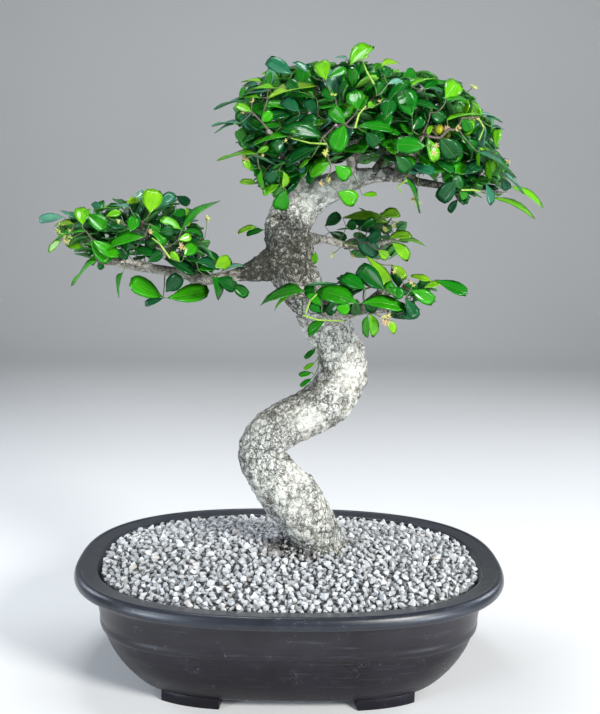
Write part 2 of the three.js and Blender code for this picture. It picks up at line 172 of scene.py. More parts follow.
def meshObject(name, points, faces, smooth=True):
    data = bpy.data.meshes.new(name)
    data.from_pydata([tuple(p) for p in points], [], faces)
    data.update()
    if smooth:
        data.shade_smooth()
    else:
        data.shade_flat()
    return inScene(name, data)


def meshFrom(shape, name):
    # a plain mesh out of a bmesh that is ready
    data = bpy.data.meshes.new(name)
    shape.to_mesh(data)
    shape.free()
    return data


def grownBy(source, tree, values, name):
    # runs a geometry tree on an object and puts the plain mesh in its place
    modifier = source.modifiers.new(tree.name, "NODES")
    modifier.node_group = tree
    for item in tree.interface.items_tree:
        if item.item_type == "SOCKET" and item.in_out == "INPUT" and item.name in values:
            modifier[item.identifier] = values[item.name]
    return flattened(source, name)


def flattened(source, name):
    # applies an object's modifiers, and puts the plain mesh in its place
    bpy.context.view_layer.update()
    graph = bpy.context.evaluated_depsgraph_get()
    evaluated = source.evaluated_get(graph)
    data = bpy.data.meshes.new_from_object(evaluated, preserve_all_data_layers=True, depsgraph=graph)
    data.name = name
    made = inScene(name, data)
    bpy.data.objects.remove(source)
    return made


def dress(made, materials):
    made.data.materials.clear()
    for material in materials:
        made.data.materials.append(material)


def coords(made):
    points = np.empty(len(made.data.vertices) * 3)
    made.data.vertices.foreach_get("co", points)
    return points.reshape(-1, 3)


def setCoords(made, points):
    made.data.vertices.foreach_set("co", points.ravel())
    made.data.update()


def storeValues(made, name, values):
    attribute = made.data.attributes.new(name, "FLOAT", "POINT")
    attribute.data.foreach_set("value", np.asarray(values, np.float32))


def bowed(start, control, end, t):
    # a point along a line that bends towards its control point
    return start * (1 - t) ** 2 + control * 2 * t * (1 - t) + end * t * t


def settle(made, slot, *replaced):
    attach(made, "root")
    if replaced:
        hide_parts(*replaced)


# Small helpers for node trees


def addNode(tree, kind, **settings):
    node = tree.nodes.new(kind)
    for name, value in settings.items():
        setattr(node, name, value)
    return node


def feed(tree, node, values):
    # sets a node's inputs by name or number: a socket is linked, anything else is a value
    for name, value in values.items():
        if isinstance(value, bpy.types.NodeSocket):
            tree.links.new(value, node.inputs[name])
        else:
            node.inputs[name].default_value = value
    return node


def calc(tree, operation, first, second=0.0):
    node = addNode(tree, "ShaderNodeMath", operation=operation)
    return feed(tree, node, {0: first, 1: second}).outputs[0]


def vectorCalc(tree, operation, values):
    node = addNode(tree, "ShaderNodeVectorMath", operation=operation)
    return feed(tree, node, values).outputs[0]


def remap(tree, value, low, high, newLow=0.0, newHigh=1.0):
    node = addNode(tree, "ShaderNodeMapRange", clamp=True)
    feed(tree, node, {
        "Value": value, "From Min": low, "From Max": high, "To Min": newLow, "To Max": newHigh,
    })
    return node.outputs["Result"]


def noise(tree, values):
    # a cloud texture's outputs
    return feed(tree, addNode(tree, "ShaderNodeTexNoise"), values).outputs


def stretched(tree, vector, height):
    # squeezes or draws out a pattern along z
    by = addNode(tree, "ShaderNodeCombineXYZ")
    feed(tree, by, {"X": 1.0, "Y": 1.0, "Z": height})
    return vectorCalc(tree, "MULTIPLY", {0: vector, 1: by.outputs[0]})


def warped(tree, vector, amount, values):
    # bends a pattern by a noise with these values
    bend = noise(tree, {"Vector": vector, **values})
    shift = vectorCalc(tree, "SCALE", {0: bend["Color"], "Scale": amount})
    return vectorCalc(tree, "ADD", {0: vector, 1: shift})


def opaque(colour):
    return (*colour, 1) if isinstance(colour, tuple) else colour


def blendColours(tree, share, first, second):
    # either colour is a socket or three numbers
    node = addNode(tree, "ShaderNodeMix", data_type="RGBA")
    feed(tree, node, {"Factor": share, "A": opaque(first), "B": opaque(second)})
    return node.outputs["Result"]


def colourSteps(tree, value, steps):
    # a ramp through colours, each with its place from 0 to 1
    ramp = addNode(tree, "ShaderNodeValToRGB")
    for i, (place, colour) in enumerate(steps):
        step = ramp.color_ramp.elements[i] if i < 2 else ramp.color_ramp.elements.new(place)
        step.position = place
        step.color = opaque(colour)
    tree.links.new(value, ramp.inputs["Fac"])
    return ramp.outputs["Color"]


def newTree(name, inputs, outputs, kind="GeometryNodeTree"):
    # a tree with named inputs: {name: (socket type, default)}
    tree = bpy.data.node_groups.new(name, kind)
    for label, (socketType, default) in inputs.items():
        socket = tree.interface.new_socket(label, in_out="INPUT", socket_type=socketType)
        if default is not None:
            socket.default_value = default
    for label, socketType in outputs.items():
        tree.interface.new_socket(label, in_out="OUTPUT", socket_type=socketType)
    return tree, tree.nodes.new("NodeGroupInput"), tree.nodes.new("NodeGroupOutput")


def readPoints(tree, name, kind="FLOAT"):
    # what a mesh's points hold under a name, inside a geometry tree
    node = addNode(tree, "GeometryNodeInputNamedAttribute", data_type=kind)
    node.inputs["Name"].default_value = name
    return node.outputs["Attribute"]


def storePoints(tree, geometry, name, value):
    node = addNode(tree, "GeometryNodeStoreNamedAttribute", data_type="FLOAT", domain="POINT")
    return feed(tree, node, {"Geometry": geometry, "Name": name, "Value": value}).outputs[0]


def painted(tree, geometry, material):
    node = addNode(tree, "GeometryNodeSetMaterial")
    return feed(tree, node, {"Geometry": geometry, "Material": material}).outputs[0]


def realized(tree, instances):
    node = addNode(tree, "GeometryNodeRealizeInstances")
    return feed(tree, node, {"Geometry": instances}).outputs[0]


# Shader groups that several finishes share


def objectPlace(tree):
    return addNode(tree, "ShaderNodeTexCoord").outputs["Object"]


def mottleGroup():
    # soft patches and fine specks over a surface, both from 0 to 1
    tree, given, result = newTree(
        "Mottle",
        {"Patch Size": ("NodeSocketFloat", 0.02), "Speck Size": ("NodeSocketFloat", 0.001)},
        {"Patches": "NodeSocketFloat", "Specks": "NodeSocketFloat"},
        "ShaderNodeTree",
    )
    place = objectPlace(tree)
    for label, size, detail in (("Patches", "Patch Size", 4.0), ("Specks", "Speck Size", 2.0)):
        scale = calc(tree, "DIVIDE", 1.0, given.outputs[size])
        cloud = noise(tree, {"Vector": place, "Scale": scale, "Detail": detail})
        tree.links.new(remap(tree, cloud["Fac"], 0.3, 0.7), result.inputs[label])
    return tree


def cracksGroup():
    # bark broken into small crooked plates: 0 in the cracks and 1 on the plates
    tree, given, result = newTree(
        "Cracks",
        {
            "Plate Size": ("NodeSocketFloat", 0.004),
            "Stretch": ("NodeSocketFloat", 0.6),
            "Crack Width": ("NodeSocketFloat", 0.1),
            "Wander": ("NodeSocketFloat", 0.004),
        },
        {"Plates": "NodeSocketFloat"},
        "ShaderNodeTree",
    )
    scale = calc(tree, "DIVIDE", 1.0, given.outputs["Plate Size"])
    finer = calc(tree, "MULTIPLY", scale, 1.6)
    bend = {"Scale": finer, "Detail": 5.0, "Roughness": 0.7}
    crooked = warped(tree, objectPlace(tree), given.outputs["Wander"], bend)
    cells = addNode(tree, "ShaderNodeTexVoronoi", feature="DISTANCE_TO_EDGE")
    feed(tree, cells, {"Vector": stretched(tree, crooked, given.outputs["Stretch"]), "Scale": scale})
    plates = remap(tree, cells.outputs["Distance"], 0.0, given.outputs["Crack Width"])
    tree.links.new(plates, result.inputs["Plates"])
    return tree


def wrinklesGroup():
    # thin folds that wander over a surface without closing round plates, 1 in the fold
    tree, given, result = newTree(
        "Wrinkles",
        {
            "Size": ("NodeSocketFloat", 0.005),
            "Stretch": ("NodeSocketFloat", 0.7),
            "Width": ("NodeSocketFloat", 0.03),
        },
        {"Folds": "NodeSocketFloat"},
        "ShaderNodeTree",
    )
    cloud = noise(tree, {
        "Vector": stretched(tree, objectPlace(tree), given.outputs["Stretch"]),
        "Scale": calc(tree, "DIVIDE", 1.0, given.outputs["Size"]),
        "Detail": 4.0, "Roughness": 0.62, "Distortion": 0.8,
    })
    away = calc(tree, "ABSOLUTE", calc(tree, "SUBTRACT", cloud["Fac"], 0.5))
    tree.links.new(remap(tree, away, 0.0, given.outputs["Width"], 1.0, 0.0), result.inputs["Folds"])
    return tree


mottleTree = mottleGroup()
cracksTree = cracksGroup()
wrinklesTree = wrinklesGroup()


def newMaterial(name):
    material = bpy.data.materials.new(name)
    material.use_nodes = True
    tree = material.node_tree
    return material, tree, tree.nodes["Principled BSDF"]


def useGroup(tree, group, values):
    node = addNode(tree, "ShaderNodeGroup", node_tree=group)
    return feed(tree, node, values).outputs


def mottle(tree, patch, speck):
    # patches and specks of these sizes, in metres
    return useGroup(tree, mottleTree, {"Patch Size": patch, "Speck Size": speck})


def wrinkles(tree, size, stretch, width):
    return useGroup(tree, wrinklesTree, {"Size": size, "Stretch": stretch, "Width": width})["Folds"]


def bumpOf(tree, height, depth, strength=1.0, under=None):
    node = addNode(tree, "ShaderNodeBump")
    feed(tree, node, {"Height": height, "Distance": depth, "Strength": strength})
    if under is not None:
        tree.links.new(under, node.inputs["Normal"])
    return node.outputs["Normal"]


def readValue(tree, name):
    # what a mesh's points hold under a name, inside a material
    return addNode(tree, "ShaderNodeAttribute", attribute_name=name).outputs["Fac"]


# Floor

floor = {
    "colour": (0.60, 0.60, 0.595),
    "shade": (0.58, 0.58, 0.575),
    "halfWidth": 4.0,
    "front": -2.5,
    "back": 1.6,
    "bend": 0.9,
    "bendSteps": 12,
    "top": 3.5,
}


def floorMaterial():
    material, tree, shader = newMaterial("paper floor")
    patches = mottle(tree, 0.6, 0.01)["Patches"]
    colour = blendColours(tree, patches, floor["colour"], floor["shade"])
    feed(tree, shader, {"Base Color": colour, "Roughness": 0.9, "Specular IOR Level": 0.2})
    return material


def makeFloor():
    # a sheet that runs back and sweeps up into a wall
    back, bend = floor["back"], floor["bend"]
    line = [(floor["front"], 0.0), (back, 0.0)]
    for i in range(1, floor["bendSteps"] + 1):
        angle = i / floor["bendSteps"] * math.pi / 2
        line.append((back + bend * math.sin(angle), bend * (1 - math.cos(angle))))
    line.append((back + bend, floor["top"]))
    points = [(side * floor["halfWidth"], y, z) for y, z in line for side in (-1, 1)]
    faces = [(2 * i, 2 * i + 1, 2 * i + 3, 2 * i + 2) for i in range(len(line) - 1)]
    sheet = meshObject("floor", points, faces)
    dress(sheet, [floorMaterial()])


makeFloor()

# Pot, in millimetres until its mesh is made

pot = {
    "rimHalf": (175, 132),
    "rimSquareness": 2.5,
    "bodyInset": 20.5,
    "baseHalf": (124.5, 84),
    "bodySquareness": 3.1,
    "bulge": 2.55,
    "lipBottom": 85.3,
    "rimTop": 95,
    "rimFlat": 18.5,
    "rimFall": 2,
    "ledge": 54,
    "ledgeProud": 1.7,
    "wall": 4,
    "base": 8,
    "around": 216,
    "outsideStep": 4.5,
    "insideHeights": (70, 55, 42, 30, 20),
    "cornerSteps": 4,
    "sharpFrom": 38,  # degrees between faces
    "foot": {"from": 53, "to": 99, "deep": 13, "proud": 0.6, "steps": 16, "intoBase": 1.2, "soft": 0.8},
    "drain": {"x": 58, "radius": 12},
}


def ovalRing(half, squareness, height, count):
    angle = np.linspace(0, 2 * np.pi, count, endpoint=False)
    c, s = np.cos(angle), np.sin(angle)
    reach = (abs(c) ** squareness + abs(s) ** squareness) ** (-1 / squareness)
    return np.stack([half[0] * c * reach, half[1] * s * reach, np.full(count, height)], 1)


def bodyRing(inset, height):
    drop = max(0.0, (pot["lipBottom"] - height) / (pot["lipBottom"] - pot["base"])) ** pot["bulge"]
    half = []
    for axis in (0, 1):
        top = pot["rimHalf"][axis] - pot["bodyInset"]
        half.append(top - (top - pot["baseHalf"][axis]) * drop - inset)
    return ovalRing(half, pot["bodySquareness"], height, pot["around"])


def rimRing(inset, height):
    half = [half - inset for half in pot["rimHalf"]]
    return ovalRing(half, pot["rimSquareness"], height, pot["around"])


def softCorners(section, steps):
    # rounds the corners of a section that is given as rings, each with its radius
    rings = [ring for ring, _ in section]
    made = [rings[0]]
    for before, here, after, (_, radius) in zip(rings, rings[1:], rings[2:], section[1:]):
        if not radius:
            made.append(here)
            continue
        start = here + (before - here) / np.linalg.norm(before - here, axis=1)[:, None] * radius
        end = here + (after - here) / np.linalg.norm(after - here, axis=1)[:, None] * radius
        made += [bowed(start, here, end, i / steps) for i in range(steps + 1)]
    return made + [rings[-1]]


def loftFaces(ringCount, around):
    faces = []
    for r in range(ringCount - 1):
        for i in range(around):
            j = (i + 1) % around
            faces.append((r * around + i, r * around + j, (r + 1) * around + j, (r + 1) * around + i))
    faces.append(tuple(range(around - 1, -1, -1)))
    faces.append(tuple(range((ringCount - 1) * around, ringCount * around)))
    return faces


def potSection():
    # from the base's edge up the outside, over the rim and down the inside: each ring with its rounding
    low, ledge, lip, top = pot["base"], pot["ledge"], pot["lipBottom"], pot["rimTop"]
    out, wall, step = -pot["ledgeProud"], pot["wall"], pot["outsideStep"]
    flat, flatHeight = pot["rimFlat"], top - pot["rimFall"]
    foot = [
        (bodyRing(14, low), 0),
        (bodyRing(0.4, low), 1.0),
        (bodyRing(0, low + 2.4), 0.6),
    ]
    lowerWall = [(bodyRing(0, height), 0) for height in np.arange(low + 6, ledge - 4, step)]
    bead = [
        (bodyRing(0.9, ledge - 2.6), 0.9),
        (bodyRing(out + 0.1, ledge - 0.2), 1.2),
        (bodyRing(out + 0.2, ledge + 2.6), 1.4),
        (bodyRing(out + 1.5, ledge + 6.2), 1.5),
    ]
    upperWall = [(bodyRing(out + 1.3, height), 0) for height in np.arange(ledge + 10, lip - 9, step)]
    collar = [
        (bodyRing(out + 0.9, lip - 7.4), 0.8),
        (bodyRing(out - 0.3, lip - 5.6), 0.8),
        (bodyRing(-1.2, lip), 1.6),
    ]
    rim = [
        (rimRing(1.2, lip + 0.1), 1.0),
        (rimRing(0, lip + 2.4), 1.2),
        (rimRing(0.2, lip + 5.2), 1.3),
        (rimRing(1.5, top - 1.6), 1.1),
        (rimRing(3.4, top), 0.9),
        (rimRing(5.6, top - 0.1), 0.7),
        (rimRing(6.4, top - 0.7), 0.5),
        (rimRing(flat - 1, flatHeight), 1.2),
        (rimRing(flat + 0.4, flatHeight - 2.6), 1.2),
    ]
    inside = [(bodyRing(wall, lip), 0.5)]
    inside += [(bodyRing(wall, height), 0) for height in pot["insideHeights"]]
    inside += [(bodyRing(wall + 1, low + wall + 3), 2.0), (bodyRing(wall + 9, low + wall), 0)]
    return softCorners(foot + lowerWall + bead + upperWall + collar + rim + inside, pot["cornerSteps"])


def footOutline():
    # a bracket that follows the base's edge
    values = pot["foot"]
    line = []
    for i in range(values["steps"] + 1):
        x = values["from"] + (values["to"] - values["from"]) * i / values["steps"]
        share = 1 - (x / pot["baseHalf"][0]) ** pot["bodySquareness"]
        line.append(Vector((x, pot["baseHalf"][1] * share ** (1 / pot["bodySquareness"]))))
    outer, inner = [], []
    for i, point in enumerate(line):
        along = (line[min(i + 1, len(line) - 1)] - line[max(i - 1, 0)]).normalized()
        inward = Vector((along.y, -along.x))
        outer.append(point - inward * values["proud"])
        inner.insert(0, point + inward * values["deep"])
    return outer + inner


def footBlock(sideX, sideY):
    values = pot["foot"]
    corners = footOutline()
    count = len(corners)
    heights = (0, pot["base"] + values["intoBase"])
    points = [(p.x * sideX * mm, p.y * sideY * mm, z * mm) for z in heights for p in corners]
    faces = [tuple(range(count)), tuple(range(2 * count - 1, count - 1, -1))]
    faces += [(i, i + count, (i + 1) % count + count, (i + 1) % count) for i in range(count)]
    block = meshObject("foot", points, faces)
    outwards = bmesh.new()
    outwards.from_mesh(block.data)
    bmesh.ops.recalc_face_normals(outwards, faces=outwards.faces)
    outwards.to_mesh(block.data)
    outwards.free()
    bevel = block.modifiers.new("soft edges", "BEVEL")
    bevel.width = values["soft"] * mm
    bevel.segments = 2
    bevel.limit_method = "ANGLE"
    return flattened(block, "foot")


def drillRod(x):
    rod = bmesh.new()
    across, depth = pot["drain"]["radius"] * mm, pot["wall"] * 4 * mm
    bmesh.ops.create_cone(rod, cap_ends=True, segments=48, radius1=across, radius2=across, depth=depth)
    bmesh.ops.translate(rod, verts=rod.verts, vec=(x * mm, 0, pot["base"] * mm))
    return inScene("drill", meshFrom(rod, "drill"))


potLook = {
    # pairs of colours lie in patches; heights are in metres
    "wall": ((0.0075, 0.0065, 0.0085), (0.014, 0.0125, 0.017)),
    # the rim's bluish pair is a painted reflection of a bluish surround, laid on from rimFrom up
    "rim": ((0.0085, 0.0105, 0.0150), (0.015, 0.018, 0.026)),
    "rimFrom": (0.080, 0.088),
    # painted shade: the pot darkens towards its foot, up to the second of the next heights
    "low": (0.003, 0.003, 0.0045),
    "lowShadeUpTo": (0.004, 0.052),
    "chalk": (0.17, 0.18, 0.21),
    "scuff": (0.055, 0.058, 0.075),
    "scuffStretch": (30, 30, 420),
    "roughness": (0.26, 0.42),
    "polish": (0.030, 0.080, 0.75),  # from and to which height it grows, and how far
}


def potMaterial():
    material, tree, shader = newMaterial("dark pot plastic")
    spots = mottle(tree, 0.035, 0.0012)
    fine = mottle(tree, 0.009, 0.0005)
    place = objectPlace(tree)
    where = addNode(tree, "ShaderNodeSeparateXYZ")
    tree.links.new(place, where.inputs[0])
    height = where.outputs["Z"]
    brownish = blendColours(tree, spots["Patches"], *potLook["wall"])
    # painted bluish reflection on the lip and rim
    bluishReflection = blendColours(tree, spots["Patches"], *potLook["rim"])
    # painted shade, darker towards the bottom
    low = remap(tree, height, *potLook["lowShadeUpTo"], 0.6, 0.0)
    wall = blendColours(tree, low, brownish, potLook["low"])
    body = blendColours(tree, remap(tree, height, *potLook["rimFrom"]), wall, bluishReflection)
    chalk = remap(tree, calc(tree, "MULTIPLY", spots["Specks"], fine["Patches"]), 0.58, 0.95)
    worn = blendColours(tree, calc(tree, "MULTIPLY", chalk, 0.35), body, potLook["chalk"])
    turned = addNode(tree, "ShaderNodeMapping")
    feed(tree, turned, {"Vector": place, "Scale": potLook["scuffStretch"]})
    streak = noise(tree, {"Vector": turned.outputs[0], "Scale": 1.0, "Detail": 3.0, "Roughness": 0.6})
    scuff = remap(tree, streak["Fac"], 0.58, 0.78, 0.0, 0.45)
    final = blendColours(tree, scuff, worn, potLook["scuff"])
    gloss = remap(tree, spots["Patches"], 0.0, 1.0, *potLook["roughness"])
    rough = calc(tree, "ADD", gloss, calc(tree, "MULTIPLY", scuff, 0.3))
    normal = bumpOf(tree, fine["Specks"], 0.00006, 0.6)
    normal = bumpOf(tree, spots["Patches"], 0.0006, 0.4, normal)
    # the rim is handled and shines more
    start, end, most = potLook["polish"]
    polish = remap(tree, height, start, end, 0.0, most)
    feed(tree, shader, {
        "Base Color": final, "Roughness": rough, "Normal": normal, "Specular IOR Level": 0.14,
        "Coat Weight": polish, "Coat Roughness": 0.34, "Coat IOR": 1.4,
    })
    return material


def makePot():
    rings = potSection()
    shell = meshObject("shell", np.concatenate(rings) * mm, loftFaces(len(rings), pot["around"]))
    feet = [footBlock(sideX, sideY) for sideX in (-1, 1) for sideY in (-1, 1)]
    rods = [drillRod(side * pot["drain"]["x"]) for side in (-1, 1)]
    for other in feet + rods:
        cut = shell.modifiers.new(other.name, "BOOLEAN")
        cut.operation = "UNION" if other in feet else "DIFFERENCE"
        cut.object = other
        cut.solver = "EXACT"
    made = flattened(shell, "oval_pot")
    for other in feet + rods:
        bpy.data.objects.remove(other)
    made.data.shade_smooth()
    made.data.set_sharp_from_angle(angle=math.radians(pot["sharpFrom"]))
    dress(made, [potMaterial()])
    settle(made, "pot", "pot")


makePot()
print("pot made")

# Wood

wood = {
    "voxel": 1.25 * mm,
    "smoothing": 14,
    "lumps": 1.9 * mm,
    "flutes": 1.1 * mm,
    "pits": 0.5 * mm,
    "thin": 3.0 * mm,  # girth under which there is least relief
    "thick": 22 * mm,  # girth from which it is full
    "young": (16 * mm, 9 * mm),  # girth where bark begins to look young, and where it is wholly so
    "hollowLip": (1.25, 0.35, 0.5),  # how far out and how wide, of the hollow, and millimetres high
    # places in the picture: pixel, width and depth in millimetres
    "hollows": [
        (357, 345, 1.6, 2.2), (317, 247, 3.0, 3.0), (287, 457, 3.2, 3.4), (302, 462, 13, 5.5),
        (281, 215, 5.5, 6.5), (258, 255, 4.0, 3.0), (262, 244, 3.2, 2.6), (269, 263, 3.2, 2.2),
        (290, 246, 3.0, 1.6), (276, 241, 2.4, 2.0),
    ],
    "knobs": [
        (318, 492, 13, 2.0), (345, 333, 4.4, 2.2), (300, 262, 6.0, 1.4), (318, 292, 5.0, 1.2),
        (269, 222, 6.0, 3.2), (255, 262, 4.0, 2.0), (266, 250, 3.0, 1.6), (283, 240, 4.0, 1.6),
        (299, 233, 3.6, 1.4), (308, 255, 4.0, 1.6), (296, 270, 4.0, 1.5), (276, 262, 3.5, 1.5),
        (290, 205, 5.0, 1.8), (314, 196, 5.0, 1.6),
    ],
    # darker and paler places on the bark, the darker ones being moss and also painted shade round the left
    # branch and on the limbs under the crown: pixel, width in millimetres, and how much darker
    "mossAndShadeMarks": [
        (256, 256, 11, 0.9), (264, 240, 9, 0.8), (280, 216, 5, 1.0), (285, 234, 11, 0.35),
        (304, 246, 11, 0.5), (286, 264, 12, 0.45), (303, 270, 9, 0.35), (294, 222, 9, 0.3),
        (309, 232, 8, 0.5), (310, 247, 8, 0.5), (310, 262, 8, 0.5), (307, 278, 8, 0.35),
        (318, 240, 4, 0.8), (264, 268, 4, -0.6), (320, 380, 12, 0.35), (312, 398, 9, 0.35),
        (288, 456, 5, 0.6), (332, 535, 12, 0.3), (338, 340, 7, 0.3), (398, 173, 11, 1.3),
        (420, 179, 11, 1.4), (442, 186, 9, 1.0),
    ],
    # smooth pale places, which on the limb top under the crown are painted light: pixel, width in
    # millimetres, and how pale
    "bare": [
        (272, 404, 13, 0.9), (298, 410, 15, 1.0), (312, 422, 10, 0.7), (258, 424, 9, 0.6),
        (296, 474, 10, 0.7), (300, 504, 12, 0.6), (350, 372, 12, 0.6), (322, 186, 13, 0.9),
        (342, 180, 10, 0.9), (306, 206, 9, 0.6),
    ],
}


def mergedCopy(node, name):
    shape = bmesh.new()
    shape.from_mesh(node.data)
    bmesh.ops.remove_doubles(shape, verts=shape.verts, dist=1e-6)
    return inScene(name, meshFrom(shape, name))


def evenSmoothing(made, rounds):
    # smooths without shrinking: each round draws the points in and lets them out again
    points = coords(made)
    edges = np.empty(len(made.data.edges) * 2, int)
    made.data.edges.foreach_get("vertices", edges)
    first, second = edges.reshape(-1, 2).T
    count = np.bincount(np.concatenate([first, second]), minlength=len(points))[:, None]
    for _ in range(rounds):
        for strength in (0.5, -0.52):
            total = np.zeros_like(points)
            np.add.at(total, first, points[second])
            np.add.at(total, second, points[first])
            points += (total / count - points) * strength
    setCoords(made, points)


def treeOf(made):
    return BVHTree.FromPolygons(
        [v.co.copy() for v in made.data.vertices], [tuple(p.vertices) for p in made.data.polygons]
    )


def girthOf(made, surface):
    # how thick the wood is under each point
    under, farthest, least = 0.4 * mm, 80 * mm, 1 * mm
    girth = []
    for vertex in made.data.vertices:
        inward = -vertex.normal
        hit = surface.ray_cast(vertex.co + inward * under, inward, farthest)
        girth.append(hit[3] if hit[0] is not None else least)
    return np.array(girth)


def farFrom(points, place):
    return np.linalg.norm(points - np.array(place), axis=1)


def bell(values, middle, spread):
    return np.exp(-((values - middle) / spread) ** 2)


def rising(values, start, end):
    # 0 as far as start, and 1 from end on
    return np.clip((values - start) / (end - start), 0, 1)


def markedPlace(surface, px, py):
    # where a pixel's ray meets the bark, or the bark beside it where the ray passes
    hit = surface.ray_cast(cameraPlace, rayThrough(px, py))
    if hit[0] is None:
        hit = surface.find_nearest(seenAt(px, py, 0))
    return hit[:2]


def pressMarks(made, surface):
    # hollows and knobs where the picture shows them on the bark
    points = coords(made)
    lipPlace, lipWidth, lipHeight = wood["hollowLip"]
    for px, py, width, depth in wood["hollows"]:
        place, normal = markedPlace(surface, px, py)
        away = farFrom(points, place) / (width * mm)
        inside = np.clip(1 - away, 0, 1) ** 0.7
        points -= np.array(normal) * inside[:, None] * depth * mm
        points += np.array(normal) * bell(away, lipPlace, lipWidth)[:, None] * lipHeight * mm
    for px, py, width, height in wood["knobs"]:
        place, normal = markedPlace(surface, px, py)
        away = farFrom(points, place)
        points += np.array(normal) * (np.exp(-(away / (width * mm)) ** 2) * height * mm)[:, None]
    setCoords(made, points)


def barkRelief(material):
    # lumps, lengthwise flutes and small pits, pushed out along the bark's own direction
    size = "NodeSocketFloat"
    tree, given, result = newTree(
        "Bark relief",
        {
            "Geometry": ("NodeSocketGeometry", None),
            "Lumps": (size, 0.001),
            "Flutes": (size, 0.001),
            "Pits": (size, 0.001),
        },
        {"Geometry": "NodeSocketGeometry"},
    )
    place = addNode(tree, "GeometryNodeInputPosition").outputs[0]
    normal = addNode(tree, "GeometryNodeInputNormal").outputs[0]

    def cloud(vector, scale, detail):
        # a noise on both sides of 0
        texture = noise(tree, {"Vector": vector, "Scale": scale, "Detail": detail})
        return calc(tree, "SUBTRACT", texture["Fac"], 0.5)

    lump = cloud(place, 48.0, 2.0)
    flute = cloud(stretched(tree, place, 0.5), 190.0, 3.0)
    crooked = warped(tree, place, 0.007, {"Scale": 210.0, "Detail": 2.0})
    cells = addNode(tree, "ShaderNodeTexVoronoi", feature="F1")
    feed(tree, cells, {"Vector": crooked, "Scale": 230.0})
    pit = calc(tree, "SUBTRACT", cells.outputs["Distance"], 0.45)
    lumps = calc(tree, "MULTIPLY", lump, given.outputs["Lumps"])
    flutes = calc(tree, "MULTIPLY", flute, given.outputs["Flutes"])
    pits = calc(tree, "MULTIPLY", calc(tree, "MULTIPLY", pit, given.outputs["Pits"]), -2.4)
    total = calc(tree, "ADD", calc(tree, "MULTIPLY", calc(tree, "ADD", lumps, flutes), 2.2), pits)
    share = remap(tree, readPoints(tree, "girth"), wood["thin"], wood["thick"], 0.12, 1.0)
    push = vectorCalc(tree, "SCALE", {0: normal, "Scale": calc(tree, "MULTIPLY", total, share)})
    pushed = addNode(tree, "GeometryNodeSetPosition")
    feed(tree, pushed, {"Geometry": given.outputs["Geometry"], "Offset": push})
    ridge = calc(tree, "ADD", flute, calc(tree, "MULTIPLY", pit, -0.45))
    kept = storePoints(tree, pushed.outputs[0], "ridge", ridge)
    tree.links.new(painted(tree, kept, material), result.inputs["Geometry"])
    return tree


barkLook = {
    "pale": ((0.61, 0.595, 0.515), (0.62, 0.635, 0.60)),  # in patches
    "spotted": (0.42, 0.40, 0.34),
    "dusky": (0.33, 0.31, 0.26),
    # painted shade in the hollows of the relief
    "hollowShade": (0.22, 0.20, 0.16),
    "grit": (0.085, 0.085, 0.06),
    "young": (0.44, 0.40, 0.33),
    "shaded": (0.26, 0.245, 0.20),
    # pale bare wood, and painted light on the limb top under the crown
    "bare": (0.74, 0.73, 0.655),
    "crack": (0.022, 0.020, 0.015),
    # near black, this stands for moss and for painted shade
    "mossAndShade": ((0.010, 0.011, 0.009), (0.055, 0.052, 0.038)),  # in specks
}


def barkSeams(tree, spots, fine, small, mossAndShade, bare):
    # cracks open in patches, the folds between them nearly everywhere, and both are faint on bare wood and
    # under painted light
    plates = useGroup(tree, cracksTree, {
        "Plate Size": 0.0058, "Stretch": 0.75, "Crack Width": 0.10, "Wander": 0.0075,
    })["Plates"]
    folds = wrinkles(tree, 0.0062, 0.7, 0.026)
    hairs = wrinkles(tree, 0.0031, 0.8, 0.030)
    zones = calc(tree, "MULTIPLY", calc(tree, "ADD", fine["Patches"], spots["Patches"]), 0.5)
    weak = calc(tree, "ADD", zones, calc(tree, "MULTIPLY", mossAndShade, 0.4))
    broken = remap(tree, weak, 0.38, 0.60, 0.05, 1.0)
    gaps = calc(tree, "MULTIPLY", remap(tree, plates, 0.1, 0.95, 1.0, 0.0), broken)
    creased = calc(tree, "ADD", small["Patches"], calc(tree, "MULTIPLY", broken, 0.3))
    lines = calc(tree, "MAXIMUM", folds, calc(tree, "MULTIPLY", hairs, 0.8))
    thin = calc(tree, "MULTIPLY", lines, remap(tree, creased, 0.25, 0.55))
    whole = calc(tree, "MAXIMUM", gaps, thin)
    return calc(tree, "MULTIPLY", whole, remap(tree, bare, 0.0, 1.0, 1.0, 0.45))


def barkColour(tree, spots, fine, small, mossAndShade, bare, seams):
    # one tone laid over another, the lowest first; grit and the near-black moss, which also paints shade,
    # gather where moss and painted shade are marked
    held = calc(tree, "ADD", fine["Specks"], calc(tree, "MULTIPLY", mossAndShade, 0.42))
    flecks = calc(tree, "MULTIPLY", calc(tree, "ADD", small["Patches"], spots["Specks"]), 0.5)
    mossAndShadeCover = remap(tree, calc(tree, "ADD", mossAndShade, flecks), 0.92, 1.40, 0.0, 0.9)
    layers = [
        (remap(tree, small["Patches"], 0.4, 1.0, 0.0, 0.4), barkLook["spotted"]),
        (remap(tree, fine["Patches"], 0.5, 1.0, 0.0, 0.4), barkLook["dusky"]),
        # painted shade where the relief sinks
        (remap(tree, readValue(tree, "ridge"), -0.26, -0.04, 0.7, 0.0), barkLook["hollowShade"]),
        (remap(tree, held, 0.80, 1.0, 0.0, 0.8), barkLook["grit"]),
        (calc(tree, "MULTIPLY", readValue(tree, "young"), 0.75), barkLook["young"]),
        (calc(tree, "MULTIPLY", mossAndShade, 0.55), barkLook["shaded"]),
        (calc(tree, "MULTIPLY", bare, 0.75), barkLook["bare"]),
        (seams, barkLook["crack"]),
        (mossAndShadeCover, blendColours(tree, fine["Specks"], *barkLook["mossAndShade"])),
    ]
    colour = blendColours(tree, spots["Patches"], *barkLook["pale"])
    for share, tone in layers:
        colour = blendColours(tree, share, colour, tone)
    return colour


